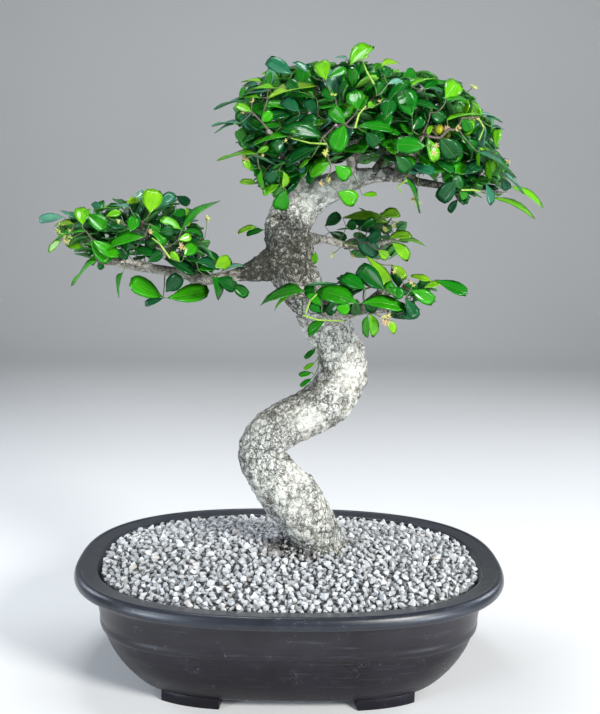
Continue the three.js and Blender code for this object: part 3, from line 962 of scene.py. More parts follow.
def barkMaterial():
    material, tree, shader = newMaterial("pale bark")
    spots = mottle(tree, 0.020, 0.0016)
    fine = mottle(tree, 0.0065, 0.0008)
    small = mottle(tree, 0.0034, 0.0005)
    mossAndShade = readValue(tree, "mossAndShade")
    bare = readValue(tree, "bare")
    seams = barkSeams(tree, spots, fine, small, mossAndShade, bare)
    colour = barkColour(tree, spots, fine, small, mossAndShade, bare, seams)
    normal = bumpOf(tree, calc(tree, "SUBTRACT", 1.0, seams), 0.0009, 0.8)
    normal = bumpOf(tree, small["Patches"], 0.0010, 0.7, normal)
    normal = bumpOf(tree, fine["Specks"], 0.0006, 0.9, normal)
    feed(tree, shader, {
        "Base Color": colour, "Roughness": 0.9, "Normal": normal, "Specular IOR Level": 0.2,
    })
    return material


def nearMarks(points, surface, marks):
    # how strongly each point lies under marks given as pixel, width and amount
    share = np.zeros(len(points))
    for px, py, width, amount in marks:
        away = farFrom(points, markedPlace(surface, px, py)[0])
        share += amount * np.exp(-(away / (width * mm)) ** 2)
    return share


def mossAndShadeShare(points, surface):
    # dark moss together with painted shade: on the inside of the upper bends and down the upper trunk's
    # left side, round the left branch, at the foot and where limbs fork
    x, z = points[:, 0] / mm, points[:, 2] / mm
    upper = 0.8 * bell(z, 348, 27) * rising(x, 22.5, -3.5)
    socket = bell(z, 333, 20) * rising(x, -12, -22) * rising(x, -46, -36)
    leftEdge = 0.8 * bell(z, 290, 40) * rising(x, 8, -2)
    elbow = 0.8 * bell(z, 232, 22) * rising(x, 26, 4)
    foot = 0.7 * rising(z, 112, 100)
    outer = 0.3 * bell(z, 185, 30) * rising(x, -30, -40)
    nearTrunk = rising(x, -66, -42)
    share = (upper + socket + leftEdge) * nearTrunk + elbow + foot + outer
    share += nearMarks(points, surface, wood["mossAndShadeMarks"])
    return 1 - np.exp(-1.3 * np.clip(share, 0, 3))


def makeWood():
    source = mergedCopy(nodes["trunk_branches_and_roots"], "wood source")
    remesh = source.modifiers.new("even skin", "REMESH")
    remesh.mode = "VOXEL"
    remesh.voxel_size = wood["voxel"]
    skin = flattened(source, "wood skin")
    evenSmoothing(skin, wood["smoothing"])
    surface = treeOf(skin)
    girth = girthOf(skin, surface)
    storeValues(skin, "girth", girth)
    storeValues(skin, "young", rising(girth, *wood["young"]))
    pressMarks(skin, surface)
    points = coords(skin)
    storeValues(skin, "mossAndShade", mossAndShadeShare(points, surface))
    storeValues(skin, "bare", np.clip(nearMarks(points, surface, wood["bare"]), 0, 1))
    sizes = {"Lumps": wood["lumps"], "Flutes": wood["flutes"], "Pits": wood["pits"]}
    made = grownBy(skin, barkRelief(barkMaterial()), sizes, "trunk_and_branches")
    made.data.shade_smooth()
    settle(made, "bark", "trunk_branches_and_roots")
    return made


bark = makeWood()
barkSurface = treeOf(bark)
print("wood made:", len(bark.data.polygons), "faces")

# Gravel

gravel = {
    "edge": 91.5,  # millimetres, as the next six
    "crown": 103.2,
    "edgeInset": 21.4,
    "bottom": 84.5,
    "stonesInset": 1.2,
    "bedUnder": 4.4,
    "clearOfTrunk": 0.2,
    "fullness": 2.2,
    "rings": 34,
    "around": 150,
    "kinds": 9,
    "corners": 12,  # thrown for one stone; some end up inside it
    # the lowest layer's darker tones are painted shade in the gaps between the upper stones
    "layers": [
        {
            "Spacing": 4.2 * mm, "Stone Size": 2.5 * mm, "Lift": -2.6 * mm,
            "Seed": 3, "Darkest": 0.0, "Palest": 0.3,
        },
        {
            "Spacing": 5.1 * mm, "Stone Size": 2.6 * mm, "Lift": -0.5 * mm,
            "Seed": 11, "Darkest": 0.1, "Palest": 0.9,
        },
        {
            "Spacing": 7.4 * mm, "Stone Size": 2.7 * mm, "Lift": 1.6 * mm,
            "Seed": 17, "Darkest": 0.2, "Palest": 1.0,
        },
    ],
    # stones that stand out in the picture: pixel, size in millimetres and tone
    "single": [(278, 553, 5.6, 0.94), (193, 569, 3.6, 1.0), (283, 590, 3.8, 1.0), (155, 558, 3.4, 0.98)],
    # tone and colour; the few past 0.97 are brownish and pinkish
    "tones": [
        (0.0, (0.20, 0.205, 0.21)), (0.35, (0.39, 0.40, 0.405)), (0.75, (0.53, 0.54, 0.545)),
        (0.97, (0.68, 0.69, 0.69)), (0.985, (0.54, 0.50, 0.45)), (1.0, (0.49, 0.43, 0.42)),
    ],
    "dust": (0.34, 0.35, 0.37),
    "litter": (0.06, 0.045, 0.03),
    "litterPlace": (0.006, -0.006, 0.104),  # the middle of the dark litter at the foot of the trunk
    "litterEdge": (0.018, 0.036),
    "seed": 21,
}


def thrown(chooser, spread):
    # an offset as likely one way as another
    return Vector([chooser.gauss(0, spread) for _ in range(3)])


def brokenStone(name, chooser):
    # the hull of a few scattered points is as angular as crushed stone
    shape = bmesh.new()
    flat = chooser.uniform(0.66, 0.92)
    long = chooser.uniform(1.0, 1.25)
    for _ in range(gravel["corners"]):
        point = thrown(chooser, 1).normalized()
        shape.verts.new((point.x * long, point.y * 0.95, point.z * flat))
    hull = bmesh.ops.convex_hull(shape, input=shape.verts)
    loose = [v for v in hull["geom_interior"] if isinstance(v, bmesh.types.BMVert)]
    bmesh.ops.delete(shape, geom=loose, context="VERTS")
    bmesh.ops.recalc_face_normals(shape, faces=shape.faces)
    data = meshFrom(shape, name)
    data.shade_flat()
    return bpy.data.objects.new(name, data)


def singleStone(heapSurface, spot, chooser):
    px, py, size, tone = spot
    stone = brokenStone("single stone", chooser)
    place = heapSurface.ray_cast(cameraPlace, rayThrough(px, py))[0]
    stone.data.transform(Matrix.Translation(place) @ Matrix.Scale(size * mm, 4))
    storeValues(stone, "tone", [tone] * len(stone.data.vertices))
    bpy.context.scene.collection.objects.link(stone)
    return stone


def gravelScatter(material):
    # stones thrown on a surface, in any turn and in a range of sizes
    size = "NodeSocketFloat"
    tree, given, result = newTree(
        "Gravel scatter",
        {
            "Geometry": ("NodeSocketGeometry", None),
            "Stones": ("NodeSocketCollection", None),
            "Spacing": (size, 0.004),
            "Stone Size": (size, 0.003),
            "Lift": (size, 0.0),
            "Seed": ("NodeSocketInt", 1),
            "Darkest": (size, 0.0),
            "Palest": (size, 1.0),
        },
        {"Geometry": "NodeSocketGeometry"},
    )
    seed = given.outputs["Seed"]
    spread = addNode(tree, "GeometryNodeDistributePointsOnFaces", distribute_method="POISSON")
    feed(tree, spread, {
        "Mesh": given.outputs["Geometry"], "Distance Min": given.outputs["Spacing"],
        "Density Max": 200000.0, "Seed": seed,
    })
    tone = addNode(tree, "FunctionNodeRandomValue", data_type="FLOAT")
    feed(tree, tone, {2: given.outputs["Darkest"], 3: given.outputs["Palest"], "Seed": seed})
    toned = storePoints(tree, spread.outputs["Points"], "tone", tone.outputs["Value"])
    kinds = addNode(tree, "GeometryNodeCollectionInfo")
    feed(tree, kinds, {
        "Collection": given.outputs["Stones"], "Separate Children": True, "Reset Children": True,
    })
    turn = addNode(tree, "FunctionNodeRandomValue", data_type="FLOAT_VECTOR")
    feed(tree, turn, {"Min": (-0.6, -0.6, 0), "Max": (0.6, 0.6, math.tau), "Seed": seed})
    # most are of one size, a few are half as big again
    big = addNode(tree, "FunctionNodeRandomValue", data_type="FLOAT")
    feed(tree, big, {"Seed": calc(tree, "ADD", seed, 7)})
    few = calc(tree, "POWER", big.outputs["Value"], 4.0)
    grade = calc(tree, "ADD", calc(tree, "MULTIPLY", few, 0.55), 0.85)
    placed = addNode(tree, "GeometryNodeInstanceOnPoints")
    feed(tree, placed, {
        "Points": toned, "Instance": kinds.outputs[0], "Pick Instance": True,
        "Rotation": turn.outputs["Value"],
        "Scale": calc(tree, "MULTIPLY", grade, given.outputs["Stone Size"]),
    })
    rise = addNode(tree, "ShaderNodeCombineXYZ")
    feed(tree, rise, {"Z": given.outputs["Lift"]})
    lifted = addNode(tree, "GeometryNodeTranslateInstances")
    feed(tree, lifted, {
        "Instances": placed.outputs[0], "Translation": rise.outputs[0], "Local Space": False,
    })
    solid = realized(tree, lifted.outputs[0])
    tree.links.new(painted(tree, solid, material), result.inputs["Geometry"])
    return tree


def stoneMaterial():
    material, tree, shader = newMaterial("crushed stone")
    spots = mottle(tree, 0.004, 0.0007)
    toned = colourSteps(tree, readValue(tree, "tone"), gravel["tones"])
    dull = blendColours(tree, calc(tree, "MULTIPLY", spots["Specks"], 0.35), toned, gravel["dust"])
    away = addNode(tree, "ShaderNodeVectorMath", operation="DISTANCE")
    feed(tree, away, {0: objectPlace(tree), 1: gravel["litterPlace"]})
    near = remap(tree, away.outputs["Value"], *gravel["litterEdge"], 0.9, 0.0)
    litter = calc(tree, "MULTIPLY", near, remap(tree, spots["Patches"], 0.1, 0.6))
    final = blendColours(tree, litter, dull, gravel["litter"])
    normal = bumpOf(tree, spots["Patches"], 0.0006, 0.6)
    normal = bumpOf(tree, spots["Specks"], 0.0002, 0.7, normal)
    feed(tree, shader, {
        "Base Color": final, "Roughness": 0.85, "Normal": normal, "Specular IOR Level": 0.3,
    })
    return material


def moundRings(inset, sink):
    # oval rings from the heap's edge to its top
    rings = []
    edge, crown = gravel["edge"], gravel["crown"]
    for r in range(gravel["rings"]):
        share = 1 - r / gravel["rings"]
        height = edge + (crown - edge) * (1 - share ** gravel["fullness"]) - sink
        half = [(side - gravel["edgeInset"] - inset) * share for side in pot["rimHalf"]]
        rings.append(ovalRing(half, pot["rimSquareness"], height, gravel["around"]))
    return rings


def moundSurface():
    # the open top of the heap, without what the trunk covers
    rings = moundRings(gravel["stonesInset"], 0)
    points = np.concatenate(rings) * mm
    faces = loftFaces(len(rings), gravel["around"])[:-2]
    kept = []
    for face in faces:
        middle = Vector(points[list(face)].mean(0))
        place, normal = barkSurface.find_nearest(middle)[:2]
        if (middle - place).dot(normal) > gravel["clearOfTrunk"] * mm:
            kept.append(face)
    return meshObject("heap", points, kept)


def moundBed():
    # the closed body of the heap, just under the stones; with no tone of its own it takes the darkest stone
    # colour, painted shade in the gaps
    rings = moundRings(0, gravel["bedUnder"])
    bottom = rings[0].copy()
    bottom[:, 2] = gravel["bottom"]
    rings = [bottom] + rings
    faces = loftFaces(len(rings), gravel["around"])
    return meshObject("bed", np.concatenate(rings) * mm, faces, smooth=False)


def joined(parts, name):
    target = parts[0]
    chosen = {"active_object": target, "selected_editable_objects": parts, "selected_objects": parts}
    with bpy.context.temp_override(**chosen):
        bpy.ops.object.join()
    target.name = name
    target.data.name = name
    return target


def makeGravel():
    material = stoneMaterial()
    chooser = random.Random(gravel["seed"])
    kinds = bpy.data.collections.new("stone kinds")  # the scatter picks from it; nothing in it is drawn
    for number in range(gravel["kinds"]):
        kinds.objects.link(brokenStone(f"stone {number}", chooser))
    scatter = gravelScatter(material)
    layers = []
    for values in gravel["layers"]:
        layers.append(grownBy(moundSurface(), scatter, {"Stones": kinds, **values}, "layer"))
    mound = moundSurface()
    heapSurface = treeOf(mound)
    bpy.data.objects.remove(mound)
    plain = [singleStone(heapSurface, spot, chooser) for spot in gravel["single"]] + [moundBed()]
    for part in plain:
        dress(part, [material])
    made = joined(layers + plain, "crushed_gravel")
    settle(made, "gravel", "gravel_top_dressing")
    return made


stones = makeGravel()
print("gravel made:", len(stones.data.polygons), "faces")

# Leaves. Each shape runs along x from its stalk's foot to its tip, one long and one wide, its upper side up

leafForm = {
    "stations": [0.0, 0.11, 0.27, 0.45, 0.63, 0.80, 0.93],
    "across": (-1, -0.5, 0, 0.5, 1),
    "stalk": 0.06,
    "stalkHalf": 0.03,
    "closesAt": 1.04,  # where the outline would end if it weren't blunt
    "rim": 0.018,  # how thick it is beside the midrib, and under it
    "midrib": 0.030,
}
leafKinds = {
    "flat": {"fold": 0.05, "arch": 0.06, "twist": 0.0, "widest": 0.58, "teeth": 0.035},
    "folded": {"fold": 0.20, "arch": 0.12, "twist": 0.1, "widest": 0.56, "teeth": 0.04},
    "arched": {"fold": 0.10, "arch": 0.30, "twist": 0.0, "widest": 0.52, "teeth": 0.03},
    "cupped": {"fold": 0.14, "arch": -0.10, "twist": 0.0, "widest": 0.60, "teeth": 0.02},
    "twisted": {"fold": 0.10, "arch": 0.14, "twist": 0.5, "widest": 0.56, "teeth": 0.035},
    "notched": {"fold": 0.08, "arch": 0.05, "twist": -0.15, "widest": 0.66, "teeth": -0.05},
}


def leafHalfWidth(t, widest):
    # a short stalk, a wedge that rounds out, and a blunt end
    stalk, half = leafForm["stalk"], leafForm["stalkHalf"]
    if t < stalk:
        return half
    if t < widest:
        return half + (0.5 - half) * math.sin(math.pi / 2 * (t - stalk) / (widest - stalk)) ** 0.85
    return 0.5 * math.sqrt(max(0.0, 1 - ((t - widest) / (leafForm["closesAt"] - widest)) ** 2.3))


def leafPoints(values):
    # upper points for every station and place across, then the lower ones inside the edge
    stations, across = leafForm["stations"], leafForm["across"]
    upper = []
    for i, t in enumerate(stations):
        half = leafHalfWidth(t, values["widest"])
        for j, share in enumerate(across):
            x = t
            if i == len(stations) - 1:
                tooth = values["teeth"] if j % 2 == 0 else -values["teeth"] * 0.4
                x = t + 0.06 * (1 - share * share) + tooth * 0.6
            y = half * share
            wave = 0.012 * math.sin(9 * x + 2 * share) * abs(share)
            z = values["fold"] * abs(share) * half - values["arch"] * x * x + wave
            turn = values["twist"] * x
            upper.append((x, y * math.cos(turn), z + y * math.sin(turn) * 0.6))
    lower = []
    for i in range(1, len(stations) - 1):
        for j in range(1, len(across) - 1):
            x, y, z = upper[i * len(across) + j]
            lower.append((x, y, z - (leafForm["midrib"] if across[j] == 0 else leafForm["rim"])))
    return upper + lower


def leafFaces():
    # the upper side's faces, then the lower side's, which share the points round the edge
    rows, wide = len(leafForm["stations"]), len(leafForm["across"])

    def low(i, j):
        inside = 0 < i < rows - 1 and 0 < j < wide - 1
        return rows * wide + (i - 1) * (wide - 2) + j - 1 if inside else i * wide + j

    top, bottom = [], []
    for i in range(rows - 1):
        for j in range(wide - 1):
            top.append((i * wide + j, (i + 1) * wide + j, (i + 1) * wide + j + 1, i * wide + j + 1))
            bottom.append((low(i, j), low(i, j + 1), low(i + 1, j + 1), low(i + 1, j)))
    return top, bottom


leafTop, leafBottom = leafFaces()
leafShapes = {kind: leafPoints(values) for kind, values in leafKinds.items()}


def leafObject(kind):
    made = bpy.data.objects.new(kind, bpy.data.meshes.new(kind))
    points = leafShapes[kind]
    made.data.from_pydata(points, [], leafTop + leafBottom)
    made.data.shade_smooth()
    leafMap = made.data.uv_layers.new(name="leafMap")
    for loop in made.data.loops:
        x, y = points[loop.vertex_index][:2]
        leafMap.data[loop.index].uv = (0.5 + y, x)
    under = made.data.attributes.new("underside", "FLOAT", "FACE")
    under.data.foreach_set("value", [0.0] * len(leafTop) + [1.0] * len(leafBottom))
    return made


leafLook = {
    # tone and colour
    "tones": [
        (0.0, (0.12, 0.30, 0.22)), (0.11, (0.014, 0.110, 0.060)), (0.24, (0.0012, 0.042, 0.009)),
        (0.42, (0.002, 0.120, 0.004)), (0.62, (0.028, 0.260, 0.002)), (0.74, (0.095, 0.340, 0.005)),
        (0.84, (0.14, 0.360, 0.008)), (1.0, (0.200, 0.320, 0.020)),
    ],
    "patches": (0.002, 0.07, 0.006),
    "veins": (0.35, 0.60, 0.10),
    "veinWaves": 44.0,
    "veinSlant": 0.7,
    "underside": (0.10, 0.28, 0.07),
    "roughness": (0.15, 0.45),  # of the upper side and the underside
}


def leafVeins(tree):
    # the midrib and the side veins that run forward from it, from the leaf's own map
    place = addNode(tree, "ShaderNodeSeparateXYZ")
    tree.links.new(addNode(tree, "ShaderNodeUVMap", uv_map="leafMap").outputs["UV"], place.inputs[0])
    aside = calc(tree, "ABSOLUTE", calc(tree, "SUBTRACT", place.outputs["X"], 0.5))
    midrib = remap(tree, aside, 0.012, 0.045, 1.0, 0.0)
    forward = calc(tree, "MULTIPLY", aside, leafLook["veinSlant"])
    slant = calc(tree, "SUBTRACT", place.outputs["Y"], forward)
    wave = calc(tree, "SINE", calc(tree, "MULTIPLY", slant, leafLook["veinWaves"]))
    return midrib, remap(tree, wave, 0.86, 1.0, 0.0, 0.5)


def leafMaterial():
    material, tree, shader = newMaterial("glossy leaf")
    under = readValue(tree, "underside")
    spots = mottle(tree, 0.008, 0.0008)
    midrib, veins = leafVeins(tree)
    green = colourSteps(tree, readValue(tree, "tone"), leafLook["tones"])
    patched = blendColours(tree, calc(tree, "MULTIPLY", spots["Patches"], 0.35), green, leafLook["patches"])
    lines = calc(tree, "MAXIMUM", calc(tree, "MULTIPLY", midrib, 0.75), veins)
    lighter = blendColours(tree, 0.35, green, leafLook["veins"])
    veined = blendColours(tree, calc(tree, "MULTIPLY", lines, 0.22), patched, lighter)
    below = blendColours(tree, 0.4, green, leafLook["underside"])
    final = blendColours(tree, under, veined, below)
    dull = remap(tree, under, 0.0, 1.0, *leafLook["roughness"])
    rough = calc(tree, "ADD", dull, calc(tree, "MULTIPLY", spots["Specks"], 0.08))
    height = calc(tree, "ADD", calc(tree, "MULTIPLY", midrib, -0.6), calc(tree, "MULTIPLY", veins, -0.5))
    normal = bumpOf(tree, height, 0.0007, 0.8)
    normal = bumpOf(tree, spots["Patches"], 0.0010, 0.5, normal)
    # glossy where a leaf faces the eye, with little haze where it is seen edge on
    facing = addNode(tree, "ShaderNodeLayerWeight")
    feed(tree, facing, {"Blend": 0.5, "Normal": normal})
    wax = remap(tree, facing.outputs["Facing"], 0.2, 0.75, 0.5, 0.0)
    waxed = calc(tree, "MULTIPLY", wax, remap(tree, under, 0.0, 1.0, 1.0, 0.2))
    feed(tree, shader, {
        "Base Color": final, "Roughness": rough, "Normal": normal, "Specular IOR Level": 0.05,
        "Coat Weight": waxed, "Coat Roughness": 0.12, "Coat IOR": 1.42,
    })
    return material


twigLook = {
    # each in patches or specks of two colours
    "young": ((0.12, 0.27, 0.02), (0.30, 0.42, 0.06)),
    "green": ((0.03, 0.085, 0.010), (0.10, 0.17, 0.03)),
    "old": ((0.030, 0.022, 0.016), (0.12, 0.092, 0.070)),
}


def twigMaterial():
    material, tree, shader = newMaterial("green twig")
    age = readValue(tree, "age")
    spots = mottle(tree, 0.004, 0.0007)
    young = blendColours(tree, spots["Patches"], *twigLook["young"])
    green = blendColours(tree, spots["Patches"], *twigLook["green"])
    old = blendColours(tree, spots["Specks"], *twigLook["old"])
    firm = blendColours(tree, remap(tree, age, 0.05, 0.3), young, green)
    final = blendColours(tree, remap(tree, age, 0.38, 0.7), firm, old)
    normal = bumpOf(tree, spots["Specks"], 0.0003, 0.6)
    feed(tree, shader, {"Base Color": final, "Roughness": 0.6, "Normal": normal})
    return material


def shootTree(leafSkin, twigSkin):
    # loose points become leaves, and chains of points become tapered twigs
    tree, given, result = newTree(
        "Leafy shoot",
        {
            "Geometry": ("NodeSocketGeometry", None),
            "Leaf Shapes": ("NodeSocketCollection", None),
            "Twig Sides": ("NodeSocketInt", 5),
        },
        {"Geometry": "NodeSocketGeometry"},
    )
    split = addNode(tree, "GeometryNodeSeparateGeometry", domain="POINT")
    feed(tree, split, {
        "Geometry": given.outputs["Geometry"], "Selection": readPoints(tree, "isLeaf", "BOOLEAN"),
    })
    dots = addNode(tree, "GeometryNodeMeshToPoints")
    feed(tree, dots, {"Mesh": split.outputs["Selection"]})
    kinds = addNode(tree, "GeometryNodeCollectionInfo")
    feed(tree, kinds, {
        "Collection": given.outputs["Leaf Shapes"], "Separate Children": True, "Reset Children": True,
    })
    turned = addNode(tree, "FunctionNodeEulerToRotation")
    feed(tree, turned, {0: readPoints(tree, "turn", "FLOAT_VECTOR")})
    leaves = addNode(tree, "GeometryNodeInstanceOnPoints")
    feed(tree, leaves, {
        "Points": dots.outputs[0], "Instance": kinds.outputs[0], "Pick Instance": True,
        "Instance Index": readPoints(tree, "kind", "INT"), "Rotation": turned.outputs[0],
        "Scale": readPoints(tree, "size", "FLOAT_VECTOR"),
    })
    chains = addNode(tree, "GeometryNodeMeshToCurve")
    feed(tree, chains, {"Mesh": split.outputs["Inverted"]})
    ring = addNode(tree, "GeometryNodeCurvePrimitiveCircle")
    feed(tree, ring, {"Resolution": given.outputs["Twig Sides"], "Radius": 1.0})
    twigs = addNode(tree, "GeometryNodeCurveToMesh")
    feed(tree, twigs, {
        "Curve": chains.outputs[0], "Profile Curve": ring.outputs[0],
        "Scale": readPoints(tree, "thickness"), "Fill Caps": True,
    })
    both = addNode(tree, "GeometryNodeJoinGeometry")
    tree.links.new(painted(tree, realized(tree, leaves.outputs[0]), leafSkin), both.inputs[0])
    tree.links.new(painted(tree, twigs.outputs[0], twigSkin), both.inputs[0])
    tree.links.new(both.outputs[0], result.inputs["Geometry"])
    return tree


# Pads of foliage: the middle and half the size of each rounded mass, in millimetres

pads = {
    "crown": {"middle": (50, 0, 432), "half": (132, 92, 66)},
    "left": {"middle": (-118, 0, 348), "half": (80, 52, 38)},
    "right": {"middle": (62, -66, 316), "half": (80, 30, 26)},
    "back": {"middle": (76, 58, 358), "half": (46, 26, 26)},
    "trunk": {"middle": (0, -12, 262), "half": (14, 6, 30)},
}

# Leaves that the picture shows one by one: stalk and tip in its pixels, width in pixels, and tone.
# Tone runs from 0, a painted bluish sheen, by 0.2 dark, 0.4 middle and 0.6 bright green, to 0.8
# yellow-green and 1 olive. A further number sets a leaf back into the foliage, in millimetres.

seenLeaves = {
    "crown": [
        (350, 65, 370, 42, 16, 0.72), (348, 60, 336, 53, 5, 0.0), (362, 60, 368, 55, 4, 0.8),
        (326, 80, 320, 60, 18, 0.78), (328, 78, 346, 70, 9, 0.5), (292, 74, 268, 62, 15, 0.12),
        (308, 73, 294, 60, 8, 0.09), (268, 98, 312, 72, 11, 0.92), (262, 82, 242, 75, 5, 0.85),
        (275, 88, 248, 82, 7, 0.75), (268, 91, 240, 88, 6, 0.05), (260, 98, 238, 91, 6, 0.7),
        (248, 100, 214, 98, 5, 0.1), (240, 123, 213, 117, 4, 0.05), (235, 124, 213, 126, 5, 0.08),
        (262, 122, 272, 112, 12, 0.62), (284, 140, 272, 150, 15, 0.3), (290, 136, 250, 134, 9, 0.6),
        (258, 154, 218, 147, 8, 0.78), (257, 153, 268, 147, 6, 0.75), (297, 136, 291, 131, 5, 0.75),
        (322, 138, 282, 118, 18, 0.3), (318, 147, 283, 163, 15, 0.25), (345, 124, 333, 152, 21, 0.5),
        (345, 124, 330, 108, 15, 0.5), (358, 110, 352, 86, 19, 0.5), (368, 108, 374, 102, 8, 0.72),
        (357, 127, 395, 121, 12, 0.45), (366, 132, 378, 146, 14, 0.25), (381, 66, 398, 56, 9, 0.9),
        (384, 76, 392, 66, 12, 0.3), (388, 84, 402, 79, 7, 0.0), (411, 86, 433, 70, 7, 0.75),
        (412, 116, 400, 86, 25, 0.42), (386, 118, 390, 98, 18, 0.3), (440, 110, 404, 92, 8, 0.3),
        (445, 98, 462, 77, 20, 0.72), (446, 100, 470, 92, 9, 0.6), (447, 120, 478, 104, 8, 0.74),
        (472, 102, 480, 116, 9, 0.72), (474, 106, 473, 134, 7, 0.78), (484, 122, 480, 147, 11, 0.05),
        (480, 114, 500, 113, 4, 0.0), (485, 117, 503, 116, 4, 0.05), (492, 127, 505, 125, 4, 0.1),
        (496, 146, 497, 127, 10, 0.74), (478, 152, 521, 163, 10, 0.1), (480, 150, 475, 166, 5, 0.7),
        (490, 157, 487, 179, 9, 0.7), (493, 157, 496, 176, 8, 0.78), (440, 138, 458, 160, 25, 0.25),
        (428, 138, 437, 162, 13, 0.72), (428, 136, 430, 124, 6, 0.8), (426, 146, 394, 144, 18, 0.45),
        (396, 156, 410, 172, 16, 0.28), (405, 178, 430, 206, 8, 0.45), (456, 180, 440, 200, 18, 0.22),
        (462, 190, 455, 176, 12, 0.3), (460, 192, 468, 200, 9, 0.5), (458, 199, 450, 212, 8, 0.2),
        (486, 184, 490, 204, 8, 0.1), (500, 173, 529, 184, 7, 0.05), (503, 178, 508, 191, 10, 0.15),
        (511, 187, 548, 198, 8, 0.76), (494, 198, 540, 207, 7, 0.76), (257, 184, 240, 180, 7, 0.85),
        (261, 170, 259, 196, 8, 0.66), (278, 170, 266, 182, 12, 0.2), (280, 184, 264, 194, 9, 0.75),
        (286, 190, 278, 211, 17, 0.5), (284, 172, 288, 190, 9, 0.85), (330, 162, 308, 175, 14, 0.66),
        (310, 159, 298, 167, 7, 0.7), (335, 166, 350, 178, 16, 0.62), (338, 192, 356, 201, 17, 0.66),
        (362, 195, 377, 194, 6, 0.75), (372, 70, 386, 62, 9, 0.6, 12), (402, 78, 416, 70, 10, 0.45, 10),
        (424, 90, 436, 78, 11, 0.4, 8), (300, 92, 286, 80, 12, 0.3, 6), (336, 100, 322, 88, 12, 0.4, 8),
        (252, 112, 236, 106, 8, 0.75), (250, 170, 244, 158, 8, 0.8), (300, 112, 282, 98, 13, 0.15, 14),
        (318, 116, 306, 98, 12, 0.2, 16), (376, 96, 384, 84, 12, 0.35, 8), (430, 112, 446, 122, 13, 0.3, 6),
        (462, 118, 470, 132, 12, 0.45), (466, 140, 478, 150, 12, 0.35), (412, 130, 424, 118, 12, 0.3, 8),
    ],
    "left": [
        (64, 217, 38, 219, 9, 0.05), (74, 224, 52, 219, 9, 0.95), (83, 225, 79, 203, 14, 0.76),
        (82, 226, 88, 208, 8, 0.7), (80, 220, 60, 207, 11, 0.08), (86, 214, 108, 229, 15, 0.55),
        (86, 231, 56, 229, 6, 0.6), (62, 240, 47, 250, 8, 0.85), (92, 240, 118, 256, 13, 0.6),
        (90, 242, 110, 262, 15, 0.55), (97, 260, 65, 275, 8, 0.62), (98, 262, 103, 270, 7, 0.3),
        (145, 237, 102, 238, 12, 0.55), (128, 226, 106, 222, 13, 0.25), (106, 216, 121, 212, 7, 0.75),
        (122, 208, 96, 203, 4, 0.7), (130, 208, 111, 200, 6, 0.05), (130, 232, 136, 216, 13, 0.5),
        (126, 203, 140, 198, 8, 0.88), (134, 200, 144, 192, 8, 0.05), (150, 213, 154, 188, 21, 0.82),
        (158, 208, 174, 192, 12, 0.11), (150, 224, 167, 241, 11, 0.5), (182, 230, 161, 217, 9, 0.68),
        (160, 232, 174, 230, 13, 0.25), (183, 228, 210, 190, 11, 0.5), (184, 231, 204, 229, 7, 0.45),
        (178, 240, 192, 236, 9, 0.76), (184, 256, 196, 243, 13, 0.6), (180, 262, 170, 252, 8, 0.8),
        (196, 262, 222, 262, 12, 0.2), (198, 270, 216, 264, 9, 0.45), (214, 268, 233, 257, 14, 0.85),
        (222, 271, 247, 258, 7, 0.05), (163, 297, 130, 281, 18, 0.6), (168, 298, 210, 293, 19, 0.62),
        (123, 272, 110, 295, 8, 0.5), (164, 298, 144, 304, 7, 0.2), (166, 292, 180, 276, 16, 0.22, 10),
        (212, 276, 227, 298, 13, 0.42), (216, 278, 238, 288, 13, 0.3), (232, 284, 248, 296, 12, 0.4),
        (176, 196, 190, 204, 10, 0.2, 10), (118, 232, 96, 222, 10, 0.3, 8),
        (142, 222, 128, 214, 10, 0.35, 8), (204, 240, 190, 222, 8, 0.3, 12),
        (148, 262, 162, 252, 11, 0.3, 12), (112, 250, 128, 258, 11, 0.25, 12),
        (172, 214, 186, 212, 9, 0.4, 6), (100, 210, 92, 200, 8, 0.15, 10),
    ],
    "right": [
        (305, 291, 257, 290, 17, 0.52), (288, 297, 270, 306, 6, 0.75), (357, 303, 317, 284, 20, 0.52),
        (366, 289, 342, 275, 15, 0.42), (385, 290, 360, 268, 20, 0.3), (336, 308, 350, 309, 13, 0.62),
        (362, 303, 405, 299, 15, 0.55), (366, 256, 396, 282, 9, 0.86), (392, 265, 406, 276, 9, 0.88),
        (432, 281, 411, 274, 9, 0.88), (424, 288, 440, 281, 8, 0.8), (436, 280, 466, 296, 12, 0.45),
        (411, 290, 435, 302, 14, 0.55), (405, 298, 416, 318, 12, 0.22), (325, 321, 306, 334, 12, 0.52),
        (368, 315, 364, 337, 9, 0.62), (370, 314, 377, 336, 11, 0.72), (386, 320, 397, 332, 9, 0.84),
        (322, 306, 308, 292, 9, 0.5), (322, 312, 310, 304, 10, 0.4), (340, 300, 326, 314, 12, 0.3, 6),
        (364, 300, 376, 312, 12, 0.3, 6), (388, 288, 404, 296, 12, 0.45), (396, 296, 386, 282, 11, 0.5),
        (352, 290, 334, 300, 10, 0.25, 8), (300, 294, 286, 284, 10, 0.3, 8),
        (404, 284, 418, 288, 9, 0.35, 6),
    ],
    "back": [
        (343, 218, 385, 211, 10, 0.88), (380, 217, 400, 210, 9, 0.88), (346, 226, 356, 224, 11, 0.3),
        (390, 238, 412, 230, 10, 0.86), (400, 240, 427, 238, 6, 0.8), (392, 243, 411, 258, 13, 0.82),
        (356, 238, 378, 256, 18, 0.16), (378, 250, 390, 260, 10, 0.85), (325, 226, 340, 214, 12, 0.25),
        (330, 232, 346, 240, 11, 0.3), (362, 226, 376, 220, 10, 0.35), (368, 242, 380, 232, 12, 0.2),
    ],
    "trunk": [
        (258, 227, 237, 228, 6, 0.86), (264, 230, 246, 234, 7, 0.3), (316, 348, 306, 360, 6, 0.4),
        (315, 362, 305, 371, 5, 0.75), (312, 372, 299, 377, 6, 0.5), (312, 378, 300, 386, 5, 0.45),
        (316, 252, 313, 264, 8, 0.7),
    ],
}

# Calyces and buds: pixel, size in millimetres and tone, from 0 for pinkish brown to 1 for yellow-green

